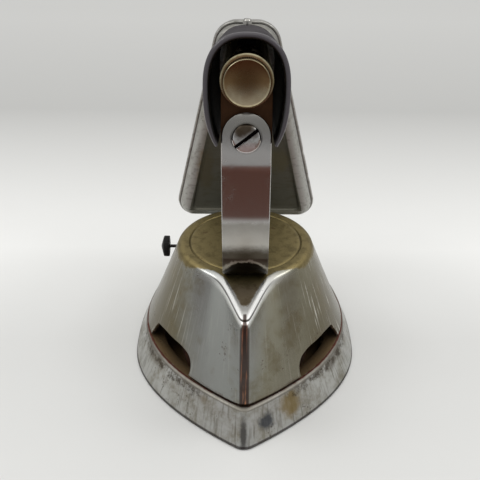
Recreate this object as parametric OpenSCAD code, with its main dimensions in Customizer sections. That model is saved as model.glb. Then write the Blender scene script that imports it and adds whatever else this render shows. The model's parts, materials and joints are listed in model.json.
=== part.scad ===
// Gasoline iron: a self-heating flat iron with a fuel tank at the tail, an air pump inside the handle,
// and a burner under a pressed cowl. Nose towards -Y, tank towards +Y, sole on Z = 0.
// Places along the iron are given as distances behind the nose.

/* [Soleplate] */
// Length of the sole from nose to tail
sole_len = 176; // [170:1:190]
// Width of the sole at its widest
sole_w = 105.6; // [100:0.1:115]
// Distance from the nose back to the widest point
sole_wide_at = 71; // [66:1:76]
// Height of the sole casting up to its rim
sole_h = 15; // [13:0.5:17]
// Inward lean of the sole's side between lower edge and rim
sole_lean = 7; // [5:0.5:9]
// Width of the flat rim around the burner chamber
rim_w = 6.5; // [5:0.5:8]
// Depth of the burner chamber below the rim
chamber_d = 6; // [4:0.5:7]

/* [Cowl] */
// Height of the cowl's flat top above the ironing face
cowl_top = 60; // [57:0.5:64]
// Thickness of the cowl's steel
cowl_wall = 1.2; // [0.8:0.1:1.6]
// Gap under the cowl's lower edge
cowl_gap = 0.8; // [0.5:0.1:1.2]
// Step from the sole's rim in to the cowl
cowl_step = 1; // [0.5:0.1:2]
// Radius of the round part of the cowl's top
top_r = 31; // [29:0.5:34]
// Distance from the nose to the centre of the round top
hub_at = 72.6; // [70:0.5:75]
// Half angle of the pointed beak in front of the round top
beak_angle = 17.3; // [14:0.1:20]
// Offset of the beak's edges from the centre of the round top
beak_reach = 19.9; // [18:0.1:22]
// Radius of the rounding between the cowl's top and its sides
shoulder_r = 3; // [2:0.5:4]
// Radius of the circular groove pressed in the top
groove_r = 25.4; // [22:0.5:26]
// Height of the side vents
vent_h = 9.5; // [8:0.5:12]
// Width of the window in the cowl's tail
window_w = 16; // [14:1:17]

/* [Burner] */
// Half width of the burner ring
burner_half_w = 30; // [27:1:32]
// Length of the burner ring
burner_len = 76; // [72:1:80]
// Height of the burner ring
burner_h = 10; // [8:0.5:11]
// Diameter of a burner port
port_d = 1.8; // [1.2:0.1:2.4]
// Outer diameter of the mixing tube
mixer_d = 8; // [7:0.5:8.5]
// Outer diameter of the generator tube
generator_d = 6; // [5:0.5:7]
// Sideways distance of the generator tube's two legs from the middle
generator_half = 12; // [11.5:0.5:13]

/* [Clamp] */
// Diameter of the two clamp studs
stud_d = 5; // [4:0.5:6]
// Distance from the nose to the front stud
front_stud_at = 58; // [56:0.5:60]
// Distance from the nose to the rear stud
rear_stud_at = 85; // [83:0.5:86]
// Thickness of the insulating pad under the cowl's top
pad_t = 2.5; // [1.5:0.5:3.5]

/* [Straps] */
// Width of the front strap
strap_w = 19.4; // [17:0.1:19.6]
// Thickness of the front strap and the rear bracket
strap_t = 1.6; // [1.2:0.1:2]
// Width of the rear bracket
bracket_w = 17; // [14:0.5:18]
// Inner radius of the strap's curled foot
foot_r = 9; // [7:0.5:10]
// Diameter of the strap screw's head
strap_screw_head_d = 11.4; // [10:0.1:12.5]
// Diameter of the strap screw's thread
strap_screw_d = 4.5; // [4:0.1:5]

/* [Handle] */
// Width of the handle shell at its widest
handle_w = 33; // [31:0.5:36]
// Height of the handle's crown above the widest line
handle_crown = 20; // [18:0.5:22]
// Depth of the handle's legs below the widest line
handle_legs = 23; // [21:0.5:24]
// Thickness of the handle shell
handle_wall = 2.5; // [2:0.1:3]
// Downward slope of the handle towards the tank in degrees
handle_slope = 16; // [14:0.5:18]
// How far the handle's mouth stands in front of the saddle
handle_mouth = 8; // [6:0.5:10]
// Share of its mouth size that the handle has at the tank
handle_taper = 0.92; // [0.88:0.01:1]
// Width of the saddle that carries the pump barrel
saddle_w = 19.8; // [18.5:0.1:20]
// Length of the saddle along the handle
saddle_t = 13; // [10:0.5:16]

/* [Pump] */
// Outer diameter of the pump barrel
barrel_d = 15; // [13:0.5:16]
// Wall of the pump barrel
barrel_wall = 0.9; // [0.7:0.1:1.2]
// Diameter of the pump rod
rod_d = 4; // [3:0.5:5]
// Diameter of the pump knob's rim
knob_rim_d = 20.6; // [18.5:0.1:21]
// Diameter of the pump knob's face
knob_face_d = 17.6; // [15.5:0.1:18]
// Length of the pump knob
knob_len = 11; // [9:0.5:13]
// Stroke of the pump
stroke = 50; // [40:1:55]

/* [Tank] */
// Distance from the nose to the tank's front panel
tank_at = 125; // [123:0.5:128]
// Height of the tank's lower edge
tank_low = 45.6; // [44:0.1:48]
// Height of the tank's upper edge
tank_high = 144.5; // [142:0.1:148]
// Width of the tank at its lower edge
tank_w_low = 73; // [68:0.1:78]
// Width of the tank at its upper edge
tank_w_high = 28.1; // [27:0.1:32]
// Backward lean of the tank in degrees
tank_lean = 7; // [4:0.5:9]
// Depth of the tank's front shell
tank_front_d = 8; // [7:0.5:10]
// Depth of the tank's rear shell
tank_rear_d = 16; // [13:0.5:18]
// Wall of the tank
tank_wall = 0.9; // [0.7:0.1:1.2]
// Radius of the rounding around the tank's front panel
tank_round = 5.2; // [4.5:0.1:6]
// Radius of the rounding around the tank's rear panel
tank_back_round = 8; // [6:0.5:9]
// Height of the filler above the ironing face
filler_z = 110; // [96:1:112]
// Diameter of the filler cap
filler_cap_d = 21; // [19:0.5:23]

/* [Valve] */
// Distance from the nose to the valve stem
valve_at = 104; // [103:0.5:105]
// Height of the valve stem
valve_z = 36.8; // [36:0.1:37.5]
// Diameter of the valve stem
stem_d = 1.6; // [1.4:0.1:2.4]
// Sideways distance from the middle to the valve knob's outer face
knob_out = 41.5; // [39:0.5:44]
// Diameter of the valve knob
valve_knob_d = 10.8; // [9:0.1:12.5]

/* [Hidden] */

// Running gap between a shaft and its hole, and resting gap between neighbours
run_gap = 0.08;
rest_gap = 0.3;
round_fn = 64;

// The sole's outline is a power curve on each side of its widest point
bow_power = 2.1;
stern_power = 2.5;
sole_tip = 2;
lean_share = 10 / 7;
half_steps = 36;
step_power = 1.35;
edge_soft = 1.7;
// Share by which an inset moves a pointed end, from the half angle of the point
point_share = 1.22;

chamber_floor = sole_h - chamber_d;
rim_half_w = sole_w / 2 - sole_lean;
rim_lead = sole_lean * lean_share - sole_tip;
cowl_low = sole_h + cowl_gap;
boss_r = stud_d / 2 + 3.5;
boss_top = chamber_floor + 4;
stud_low = chamber_floor - 6;
sleeve_r = stud_d / 2 + 1.8;
pad_top = cowl_top - cowl_wall - rest_gap;
shield_t = 1;
shield_top = pad_top - pad_t;
shield_r = groove_r - 2;
nut_h = 4;
nut_across = stud_d * 1.75;

// The handle frame sits on the pump's axis at the saddle's front face, with its z along the axis to the front
screw_drop = 22;
saddle_at = 41.9;
saddle_z = 151;
leg_curve_out = 28.5;
leg_curve_in = 30;
section_power = 2.4;
crown_shift = -2;
tank_ref = saddle_z - (tank_at - saddle_at) * tan(handle_slope);
axis_length = (tank_at - saddle_at) / cos(handle_slope);
barrel_r = barrel_d / 2;
barrel_end = -(axis_length + 9);
barrel_start = -0.4;
panel_sink = 0.8;

// Distance behind the nose of the tank's leaning front panel at height z, less a gap square to it
function panel_at(z, gap) =
  tank_at + (z - tank_ref) * tan(tank_lean) + (panel_sink - gap) / cos(tank_lean);

function along(d) = d - sole_len / 2;

// Half width of a boat shape at distance d behind the nose
function side_w(d, w, lead, trail) = d < sole_wide_at
  ? w * (1 - pow((sole_wide_at - d) / (sole_wide_at - lead), bow_power))
  : w * (1 - pow((d - sole_wide_at) / (trail - sole_wide_at), stern_power));

// Distance from the hub to the boat shape in the direction phi, halved down to its value
function reach(phi, w, lead, trail, lo, hi, n) = n == 0 ? (lo + hi) / 2 :
  let (mid = (lo + hi) / 2)
  mid * sin(phi) < side_w(hub_at - mid * cos(phi), w, lead, trail)
    ? reach(phi, w, lead, trail, mid, hi, n - 1)
    : reach(phi, w, lead, trail, lo, mid, n - 1);

// Direction i, crowded towards the nose, and the same kept off the ends so that the points stay rounded
function turn(i) = 180 * pow(i / half_steps, step_power);
function soft(phi) = phi < 90 ? sqrt(phi * phi + edge_soft * edge_soft)
  : 180 - sqrt((180 - phi) * (180 - phi) + edge_soft * edge_soft);

function boat_r(phi, w, lead, trail) = reach(soft(phi), w, lead, trail, 0, sole_len, 22);

// Radius of the cowl's top outline: a circle blended with a pointed beak
function top_reach(phi, inset) =
  let (beak = (beak_reach - inset) / sin(min(beak_angle + soft(phi), 90)), disc = top_r - inset)
  pow(pow(beak, 8) + pow(disc, 8), 1 / 8);

function at_angle(phi, r, z, side) = [side * r * sin(phi), along(hub_at) - r * cos(phi), z];

// Closed ring of points at height z from one radius per direction
function ring(radii, z) = concat(
  [for (i = [0:half_steps]) at_angle(turn(i), radii[i], z, 1)],
  [for (i = [half_steps - 1:-1:1]) at_angle(turn(i), radii[i], z, -1)]);

function boat_radii(w, lead, trail) = [for (i = [0:half_steps]) boat_r(turn(i), w, lead, trail)];
// Boat shape inset from the sole's lower outline
function sole_radii(inset) = boat_radii(sole_w / 2 - inset, -sole_tip + inset * lean_share,
  sole_len + sole_tip - inset * lean_share);
// Boat shape inset from the sole's rim
function rim_radii(inset) = boat_radii(rim_half_w - inset, rim_lead + inset * point_share,
  sole_len - rim_lead - inset * point_share);
function top_radii(inset) = [for (i = [0:half_steps]) top_reach(turn(i), inset)];

// Skin over a list of equal rings, with a cap on the first and the last
module skin(rings) {
  n = len(rings[0]);
  last = (len(rings) - 1) * n;
  walls = [for (k = [0:len(rings) - 2]) for (i = [0:n - 1])
    let (a = k * n + i, b = k * n + (i + 1) % n) each [[a, a + n, b + n], [a, b + n, b]]];
  caps = [[for (i = [0:n - 1]) i], [for (i = [n - 1:-1:0]) last + i]];
  polyhedron(points = [for (r = rings) each r], faces = concat(walls, caps), convexity = 8);
}

module at_stud(d) {
  translate([0, along(d), 0]) children();
}

module at_studs() {
  at_stud(front_stud_at) children();
  at_stud(rear_stud_at) children();
}

// The tank's frame has its y up the tank as a height above the sole, and its z out of the front panel's rim
module tank_place() {
  translate([0, along(tank_at), tank_ref]) rotate([90 - tank_lean, 0, 0]) translate([0, -tank_ref, 0])
    children();
}

module handle_frame() {
  translate([0, along(saddle_at), saddle_z]) rotate([90 - handle_slope, 0, 0]) children();
}

// Ring between two radii from z0 to z1
module tube(r, hole_r, z0, z1) {
  difference() {
    translate([0, 0, z0]) cylinder(r = r, h = z1 - z0, $fn = round_fn);
    translate([0, 0, z0 - 1]) cylinder(r = hole_r, h = z1 - z0 + 2, $fn = round_fn);
  }
}

// Cylinder along Y between two distances behind the nose
module lengthwise(x, z, r, d0, d1) {
  translate([x, along(d1), z]) rotate([90, 0, 0]) cylinder(r = r, h = d1 - d0, $fn = round_fn);
}

// Hexagonal bar measured across its flats, standing on its base
module hex_bar(across, h) {
  cylinder(r = across / sqrt(3), h = h, $fn = 6);
}

// Flat bar bent along a path of [distance behind the nose, height], extruded across the iron
module bent_bar(path, t, w) {
  n = len(path);
  heading =
    [for (i = [0:n - 1]) let (a = path[max(i - 1, 0)], b = path[min(i + 1, n - 1)]) (b - a)
    / norm(b - a)];
  side = [for (i = [0:n - 1]) [-heading[i][1], heading[i][0]] * t / 2];
  outline = concat([for (i = [0:n - 1]) path[i] + side[i]], [for (i = [n - 1:-1:0]) path[i] - side[i]]);
  rotate([90, 0, 90]) linear_extrude(w, center = true, convexity = 6)
    polygon([for (p = outline) [along(p[0]), p[1]]]);
}

// Points of an arc in the lengthwise plane
function arc_points(c, r, a0, a1, n) =
  [for (k = [0:n]) c + r * [cos(a0 + (a1 - a0) * k / n), sin(a0 + (a1 - a0) * k / n)]];

// Soleplate: a boat-shaped casting with leaning sides, a flat rim and a sunk burner chamber
edge_chamfer = 0.8;
rim_round = 0.8;
side_steps = 3;
chamber_wall_lean = 1.5;

module soleplate() {
  color([0.6, 0.6, 0.58]) difference() {
    union() {
      skin(concat(
        [ring(sole_radii(edge_chamfer), 0)],
        [for (k = [0:side_steps]) let (f = k / side_steps)
          ring(sole_radii((sole_lean - rim_round) * f),
            edge_chamfer + (sole_h - edge_chamfer - rim_round) * f)],
        [ring(rim_radii(0), sole_h - rim_round * 0.4)],
        [ring(rim_radii(rim_round), sole_h)],
        [ring(rim_radii(rim_w), sole_h)],
        [ring(rim_radii(rim_w + chamber_wall_lean), chamber_floor)]));
      at_studs() translate([0, 0, chamber_floor - 1])
        cylinder(r = boss_r, h = boss_top - chamber_floor + 1, $fn = round_fn);
    }
    at_studs() translate([0, 0, stud_low])
      cylinder(r = stud_d / 2 + run_gap, h = cowl_top, $fn = round_fn);
    for (at = burner_screw_at) translate([at[0], along(at[1]), burner_screw_low])
      cylinder(r = burner_screw_d / 2 + run_gap, h = sole_h, $fn = 32);
  }
}

// Burner ring: a boat-shaped channel casting over the chamber floor, with ports through its walls
burner_mid = 63;
burner_lug = 15;
burner_band = 11;
burner_z = chamber_floor + 0.1;
channel_w = 5;
channel_h = burner_h - 3;
burner_screw_d = 3.5;
burner_screw_low = chamber_floor - 5;
burner_screw_at = [[0, burner_mid - burner_len / 2 + 9], [-8.5, burner_mid + burner_len / 2 - 8],
  [8.5, burner_mid + burner_len / 2 - 8]];
port_pitch = 7;
mixer_z = burner_z + burner_h / 2 + 1;
mixer_at = burner_mid + burner_len / 2 - 5;

// Lens between two equal arcs, half_l long each way and half_w wide each way
module lens(half_l, half_w, h) {
  arc_r = (half_l * half_l + half_w * half_w) / (2 * half_w);
  linear_extrude(h) intersection() {
    translate([arc_r - half_w, 0]) circle(r = arc_r, $fn = 128);
    translate([half_w - arc_r, 0]) circle(r = arc_r, $fn = 128);
  }
}

module burner_ring() {
  half_l = burner_len / 2;
  color([0.3, 0.22, 0.17]) translate([0, along(burner_mid), burner_z]) difference() {
    intersection() {
      lens(half_l + 4, burner_half_w, burner_h);
      translate([-burner_half_w, -half_l, 0]) cube([2 * burner_half_w, 2 * half_l, burner_h]);
    }
    translate([0, 0, -1]) lens(half_l - burner_lug, burner_half_w - burner_band, burner_h + 2);
    translate([0, 0, -1]) difference() {
      lens(half_l - 6, burner_half_w - 3, channel_h + 1);
      translate([0, 0, -1]) lens(half_l - burner_lug + 6, burner_half_w - 3 - channel_w, channel_h + 3);
      translate([-7, 3 - half_l, -1]) cube([14, 16, channel_h + 3]);
    }
    for (at = burner_screw_at) translate([at[0], at[1] - burner_mid, -1])
      cylinder(r = burner_screw_d / 2 + run_gap, h = burner_h + 2, $fn = 32);
    for (d = [front_stud_at, rear_stud_at]) translate([0, d - burner_mid, -1])
      cylinder(r = boss_r + 0.3, h = burner_h + 2, $fn = round_fn);
    translate([0, half_l + 1, mixer_z - burner_z]) rotate([90, 0, 0])
      cylinder(r = mixer_d / 2 - 1, h = 9, $fn = 32);
    for (k = [-3:3]) translate([-burner_half_w - 1, k * port_pitch, channel_h / 2]) rotate([0, 90, 0])
      cylinder(d = port_d, h = 2 * burner_half_w + 2, $fn = 24);
  }
}

module burner_screws() {
  head_z = burner_z + burner_h + 0.05;
  color([0.35, 0.3, 0.27]) for (at = burner_screw_at) translate([at[0], along(at[1]), 0]) difference() {
    union() {
      translate([0, 0, burner_screw_low + 0.3])
        cylinder(d = burner_screw_d, h = head_z - burner_screw_low, $fn = 32);
      translate([0, 0, head_z]) cylinder(d = burner_screw_d * 1.9, h = 1.2, $fn = 32);
    }
    translate([-5, -0.4, head_z + 0.6]) cube([10, 0.8, 2]);
  }
}

// Mixing tube: a straight throat with a flared mouth towards the jet, its spigot against the burner's tail
mouth_at = 113;
mouth_r = mixer_d / 2 + 1.6;
spigot_at = burner_mid + burner_len / 2 + 0.1;

module mixing_tube() {
  throat_r = mixer_d / 2;
  bore_r = throat_r - 1;
  l = mouth_at - spigot_at;
  color([0.45, 0.36, 0.2]) translate([0, along(spigot_at), mixer_z]) rotate([-90, 0, 0])
    rotate_extrude($fn = round_fn)
    polygon([[bore_r, 0], [throat_r, 0], [throat_r, l - 5], [mouth_r, l], [mouth_r - 0.8, l],
      [bore_r, l - 5]]);
}

// Gas jet: a hexagonal nipple with a conical tip, facing the mixing tube's mouth
jet_tip_at = mouth_at + 1.5;
jet_len = 5.5;
block_at = jet_tip_at + jet_len;

module gas_jet() {
  color([0.7, 0.55, 0.28]) translate([0, along(block_at - 0.05), mixer_z]) rotate([90, 0, 0])
    difference() {
    union() {
      hex_bar(7, 2.6);
      cylinder(r = 2.4, h = jet_len - 2.2, $fn = round_fn);
      translate([0, 0, jet_len - 2.2]) cylinder(r1 = 2.4, r2 = 0.9, h = 2.2, $fn = round_fn);
    }
    translate([0, 0, -1]) cylinder(r = 0.5, h = jet_len + 2, $fn = 24);
  }
}

// Jet block: joins the generator's return leg to the jet
block_w = 6;
block_low = mixer_z - 4.5;

module jet_block() {
  left = -generator_half - generator_d / 2 - 0.8;
  color([0.6, 0.47, 0.25]) difference() {
    translate([left, along(block_at), block_low])
      cube([5 - left, block_w, return_z + generator_d / 2 + 0.5 - block_low]);
    lengthwise(-generator_half, return_z, generator_d / 2 - 1, block_at - 1, block_at + 4);
    lengthwise(0, mixer_z, 1.2, block_at - 1, block_at + 4);
    translate([-generator_half, along(block_at + 3), mixer_z]) rotate([0, 90, 0])
      cylinder(r = 1.2, h = generator_half, $fn = 24);
    translate([-generator_half, along(block_at + 3), mixer_z])
      cylinder(r = 1.2, h = return_z - mixer_z, $fn = 24);
  }
}

// Generator tube: from the valve forward over the burner, round at the front and back to the jet block
return_z = burner_z + burner_h + 1.5 + generator_d / 2;
bend_at = 45;
bend_tilt = atan((valve_z - return_z) / (2 * generator_half));
bend_r = norm([2 * generator_half, valve_z - return_z]) / 2;
body_front = valve_at - 5.5;

// One leg of the generator, seen from the middle of its bend
module generator_leg(side, l) {
  translate([side * bend_r, 0, 0]) rotate([-90, 0, 0]) rotate([0, 0, side > 0 ? 0 : 180]) difference() {
    cylinder(r = generator_d / 2, h = l, $fn = round_fn);
    translate([0, 0, -1]) cylinder(r = generator_d / 2 - 1, h = l + 2, $fn = round_fn);
  }
}

module generator_tube() {
  color([0.5, 0.38, 0.22])
    translate([0, along(bend_at), (valve_z + return_z) / 2])
    rotate([0, -bend_tilt, 0])
    union() {
      generator_leg(1, body_front - 0.05 - bend_at);
      generator_leg(-1, block_at - 0.05 - bend_at);
      rotate([0, 0, 180]) rotate_extrude(angle = 180, $fn = 64) translate([bend_r, 0]) difference() {
        circle(r = generator_d / 2, $fn = 32);
        circle(r = generator_d / 2 - 1, $fn = 32);
      }
    }
}

// Valve body: a brass block with the stem's bore across, the inlet on top and the outlet to the generator
body_r = generator_d / 2 + 1.5;
body_len = 10.5;
body_left = -8;
body_right = generator_half + body_r;
seat_x = generator_half - 3;
stem_hole_r = stem_d / 2 + run_gap;

module valve_body() {
  color([0.62, 0.48, 0.24]) difference() {
    translate([body_left, along(body_front), valve_z - body_r])
      cube([body_right - body_left, body_len, 2 * body_r]);
    translate([body_left - 1, along(valve_at), valve_z]) rotate([0, 90, 0])
      cylinder(r = stem_hole_r, h = seat_x - body_left, $fn = round_fn);
    lengthwise(generator_half, valve_z, generator_d / 2 - 1, body_front - 1, body_front + 8);
    translate([0, along(pipe_drop_at), valve_z]) cylinder(r = pipe_d / 2 - 1, h = 20, $fn = 32);
  }
}

// Packing nut: hexagonal gland around the stem where it leaves the body
gland_len = 6;

module packing_nut() {
  color([0.66, 0.52, 0.28]) translate([body_left - 0.05, along(valve_at), valve_z]) rotate([0, -90, 0])
    difference() {
    union() {
      hex_bar(8.5, gland_len - 1.5);
      cylinder(r = 3.6, h = gland_len, $fn = round_fn);
    }
    translate([0, 0, -1]) cylinder(r = stem_hole_r, h = gland_len + 2, $fn = round_fn);
  }
}

// Valve stem: a thin rod with a conical needle, and the fluted knob on its outer end
valve_knob_len = 4.6;
hub_len = 1.4;

module valve_stem() {
  tip = seat_x - 4;
  color([0.35, 0.33, 0.3]) translate([tip, along(valve_at), valve_z]) rotate([0, -90, 0]) union() {
    cylinder(r = stem_d / 2, h = tip + knob_out - 1, $fn = round_fn);
    translate([0, 0, -2]) cylinder(r1 = 0.15, r2 = stem_d / 2, h = 2, $fn = round_fn);
  }
}

module valve_knob() {
  flutes = 12;
  r = valve_knob_d / 2;
  color([0.12, 0.1, 0.09]) translate([-knob_out + valve_knob_len, along(valve_at), valve_z])
    rotate([0, -90, 0]) difference() {
    union() {
      translate([0, 0, -hub_len]) cylinder(r = r * 0.42, h = hub_len, $fn = round_fn);
      cylinder(r1 = r - 0.5, r2 = r, h = 0.8, $fn = round_fn);
      translate([0, 0, 0.8]) cylinder(r = r, h = 2, $fn = round_fn);
      translate([0, 0, 2.8]) cylinder(r1 = r, r2 = r * 0.72, h = valve_knob_len - 2.8, $fn = round_fn);
    }
    for (k = [0:flutes - 1]) rotate([0, 0, k * 360 / flutes]) translate([r + 0.45, 0, -0.5])
      cylinder(r = 1, h = 4, $fn = 24);
    translate([0, 0, -hub_len - 1])
      cylinder(r = stem_d / 2 + 0.02, h = hub_len + valve_knob_len, $fn = round_fn);
  }
}

// Fuel pipe: leaves the tank near its foot, turns down and enters the valve body from above
pipe_d = 5;
pipe_z = tank_low + 13;
pipe_bend_r = 6;
pipe_drop_at = body_front + body_len - 3;
union_len = 4.5;

// Pipe's outside, or with a smaller radius its bore, run on by extra at both ends
module pipe_run(r, extra) {
  drop_top = pipe_z - pipe_bend_r;
  bend_end = pipe_drop_at + pipe_bend_r;
  drop_len = drop_top - valve_z - body_r - 0.05 + extra;
  level_len = panel_at(pipe_z, 0.4) - bend_end + extra;
  translate([0, along(bend_end), drop_top]) rotate([0, -90, 0]) rotate([0, 0, -90]) {
    rotate_extrude(angle = 90, $fn = 96) translate([pipe_bend_r, 0]) circle(r = r, $fn = 48);
    translate([pipe_bend_r, 0, 0]) rotate([90, 0, 0]) cylinder(r = r, h = drop_len, $fn = 48);
    rotate([0, 0, 90]) translate([pipe_bend_r, 0, 0]) rotate([-90, 0, 0]) cylinder(r = r, h = level_len, $fn = 48);
  }
}

module fuel_pipe() {
  color([0.66, 0.5, 0.28]) difference() {
    pipe_run(pipe_d / 2, 0);
    pipe_run(pipe_d / 2 - 1, 1);
  }
}

module union_nut() {
  color([0.72, 0.6, 0.34]) translate([0, along(panel_at(pipe_z, 0.15)), pipe_z])
    rotate([90 - tank_lean, 0, 0]) difference() {
    union() {
      hex_bar(9, union_len - 1);
      cylinder(r = 4, h = union_len, $fn = round_fn);
    }
    translate([0, 0, -1]) cylinder(r = pipe_d / 2 + 0.5, h = union_len + 2, $fn = round_fn);
  }
}

// Clamp studs: rise from the sole through the cowl and carry the strap and the rear bracket
module clamp_studs() {
  color([0.5, 0.48, 0.45]) at_studs() translate([0, 0, stud_low + 0.3]) union() {
    cylinder(d = stud_d, h = cowl_top + strap_t + nut_h + 2 - stud_low, $fn = round_fn);
    translate([0, 0, cowl_top + strap_t + nut_h + 2 - stud_low])
      cylinder(d1 = stud_d, d2 = stud_d - 1.4, h = 0.7, $fn = round_fn);
  }
}

module spacer_sleeves() {
  color([0.4, 0.33, 0.27]) at_studs()
    tube(sleeve_r, stud_d / 2 + run_gap, boss_top + 0.05, shield_top - shield_t - 0.05);
}

// Heat shield: a steel disc with a turned-down rim that holds the insulating pad under the cowl's top
module heat_shield() {
  rim_drop = 3;
  color([0.42, 0.36, 0.3]) difference() {
    translate([0, along(hub_at), 0]) union() {
      translate([0, 0, shield_top - shield_t]) cylinder(r = shield_r, h = shield_t, $fn = round_fn);
      tube(shield_r, shield_r - shield_t, shield_top - rim_drop, shield_top);
    }
    at_studs() translate([0, 0, shield_top - 2 * rim_drop])
      cylinder(r = stud_d / 2 + run_gap, h = 3 * rim_drop, $fn = round_fn);
  }
}

module insulating_pad() {
  color([0.78, 0.75, 0.68]) difference() {
    translate([0, along(hub_at), shield_top + 0.05])
      cylinder(r = shield_r, h = pad_t - 0.05, $fn = round_fn);
    at_studs() translate([0, 0, shield_top - 1])
      cylinder(r = stud_d / 2 + run_gap, h = pad_t + 2, $fn = round_fn);
  }
}

// Cowl: one pressed shell that runs from the boat shape of the sole up to a round top with a pointed beak.
// Each ring is blended from the two outlines in plan, and the tail falls away more steeply than the sides.
lean_start = 18;
cowl_levels = 7;
round_levels = 4;
tail_power = 1.5;

// Share of the lower outline at a given share of the height, for direction phi
function flare(phi, low) = pow(low, phi < 90 ? 1 : 1 + (tail_power - 1) * pow(sin(phi - 90), 2));

function cowl_ring(level, inset) =
  let (round_low = cowl_top - inset - shoulder_r * (1 - sin(lean_start)), low = 1 - level,
    base = rim_radii(cowl_step + inset), crown = top_radii(inset))
  ring([for (i = [0:half_steps]) crown[i] + (base[i] - crown[i]) * flare(turn(i), low)],
    cowl_low + (round_low - cowl_low) * level);

function shoulder_ring(k, inset) =
  let (a = lean_start + (90 - lean_start) * k / round_levels)
  ring(top_radii(inset + shoulder_r * (cos(lean_start) - cos(a))),
    cowl_top - inset - shoulder_r * (1 - sin(a)));

// Outline of a side vent seen from the side, as [distance behind the nose, height]
vent_low = cowl_low - 1;
vent_top = cowl_low + vent_h;
vent_outline = [[29.2, vent_low], [29.4, vent_top - 2.6], [30.4, vent_top - 0.6], [32.4, vent_top],
  [51, vent_top], [53, vent_top - 0.9], [59.2, cowl_low], [59.2, vent_low]];
window_low = cowl_low + 13;
window_at = 99;
stem_window_r = 3.2;
groove_w = 0.5;
groove_depth = 0.35;

module cowl() {
  color([0.55, 0.54, 0.5]) difference() {
    skin(concat(
      [for (k = [round_levels:-1:1]) shoulder_ring(k, cowl_wall)],
      [for (k = [4:-1:0]) cowl_ring(k / 4, cowl_wall)],
      [for (k = [0:cowl_levels]) cowl_ring(k / cowl_levels, 0)],
      [for (k = [1:round_levels]) shoulder_ring(k, 0)]));
    for (side = [0, 1]) mirror([side, 0, 0]) translate([8, 0, 0]) rotate([90, 0, 90]) linear_extrude(50)
      polygon([for (p = vent_outline) [along(p[0]), p[1]]]);
    translate([-window_w / 2, along(window_at), window_low])
      cube([window_w, 60, cowl_top - shoulder_r - 0.5 - window_low]);
    translate([-60, along(valve_at), valve_z]) rotate([0, 90, 0])
      cylinder(r = stem_window_r, h = 48, $fn = 32);
    at_studs() translate([0, 0, cowl_top - 5]) cylinder(r = stud_d / 2 + 0.3, h = 10, $fn = round_fn);
    translate([0, along(hub_at), 0])
      tube(groove_r + groove_w / 2, groove_r - groove_w / 2, cowl_top - groove_depth, cowl_top + 1);
  }
}

module clamp_nuts() {
  color([0.6, 0.58, 0.54]) at_studs() translate([0, 0, cowl_top + rest_gap + strap_t + 0.1])
    difference() {
    intersection() {
      hex_bar(nut_across, nut_h);
      translate([0, 0, -1])
        cylinder(r1 = nut_across * 0.75, r2 = nut_across * 0.5, h = nut_h + 1.4, $fn = round_fn);
    }
    translate([0, 0, -1]) cylinder(r = stud_d / 2 + run_gap, h = nut_h + 2, $fn = round_fn);
  }
}

// Front strap: curled foot on the cowl, a leaning shank, an upright stretch and a raised top square to the handle
foot_mid = cowl_top + rest_gap + strap_t / 2;
shank_lean = 12;
curl_r = foot_r + strap_t / 2;
curl_at = 48;
up_at = 33;
screw_point = [saddle_at - strap_t / 2 * cos(handle_slope) + screw_drop * -sin(handle_slope),
  saddle_z + strap_t / 2 * sin(handle_slope) - screw_drop * cos(handle_slope)];
up_low = 95;
up_high = screw_point[1] - (screw_point[0] - up_at) / tan(handle_slope);

module front_strap() {
  top_end = screw_point + strap_w * [sin(handle_slope), cos(handle_slope)];
  path = concat([[front_stud_at + strap_w / 2, foot_mid]],
    arc_points([curl_at, foot_mid + curl_r], curl_r, -90, -180 - shank_lean, 10),
    arc_points([up_at + 2.5, up_low + 0.25], 2.5, 180 - shank_lean + 2 * shank_lean, 180, 2),
    arc_points([up_at + 2.5, up_high - 0.3], 2.5, 180, 180 - handle_slope, 2),
    [top_end]);
  color([0.62, 0.61, 0.6]) difference() {
    intersection() {
      bent_bar(path, strap_t, strap_w);
      union() {
        handle_frame() translate([0, -screw_drop, -4]) cylinder(r = strap_w / 2, h = 12, $fn = 96);
        handle_frame() translate([-strap_w, -screw_drop - 100, -80]) cube([2 * strap_w, 100, 120]);
      }
      union() {
        at_stud(front_stud_at) cylinder(r = strap_w / 2, h = 100, $fn = 96);
        translate([-strap_w, along(front_stud_at) - 100, 0]) cube([2 * strap_w, 100, 200]);
      }
    }
    at_stud(front_stud_at) translate([0, 0, cowl_top])
      cylinder(r = stud_d / 2 + rest_gap / 2, h = 4, $fn = round_fn);
    handle_frame() translate([0, -screw_drop, -4])
      cylinder(r = strap_screw_d / 2 + run_gap, h = 12, $fn = round_fn);
  }
}

// Rear bracket: foot under the rear nut, a rising web and an upright flange against the tank's panel
module rear_bracket() {
  web_at = rear_stud_at + 13;
  flange_low = cowl_top + 16;
  off = rest_gap + strap_t / 2;
  turn_r = 5;
  flange_foot = [panel_at(flange_low, off), flange_low];
  flange_end = [panel_at(flange_low + 16, off), flange_low + 16];
  turn_c = flange_foot - turn_r * [cos(tank_lean), -sin(tank_lean)];
  path = concat([[rear_stud_at - 8, foot_mid]],
    arc_points([web_at, foot_mid + turn_r], turn_r, -90, -48, 3),
    arc_points(turn_c, turn_r, -42, -tank_lean, 3),
    [flange_end]);
  color([0.5, 0.47, 0.43]) difference() {
    bent_bar(path, strap_t, bracket_w);
    at_stud(rear_stud_at) translate([0, 0, cowl_top])
      cylinder(r = stud_d / 2 + rest_gap / 2, h = 6, $fn = round_fn);
  }
}

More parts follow.
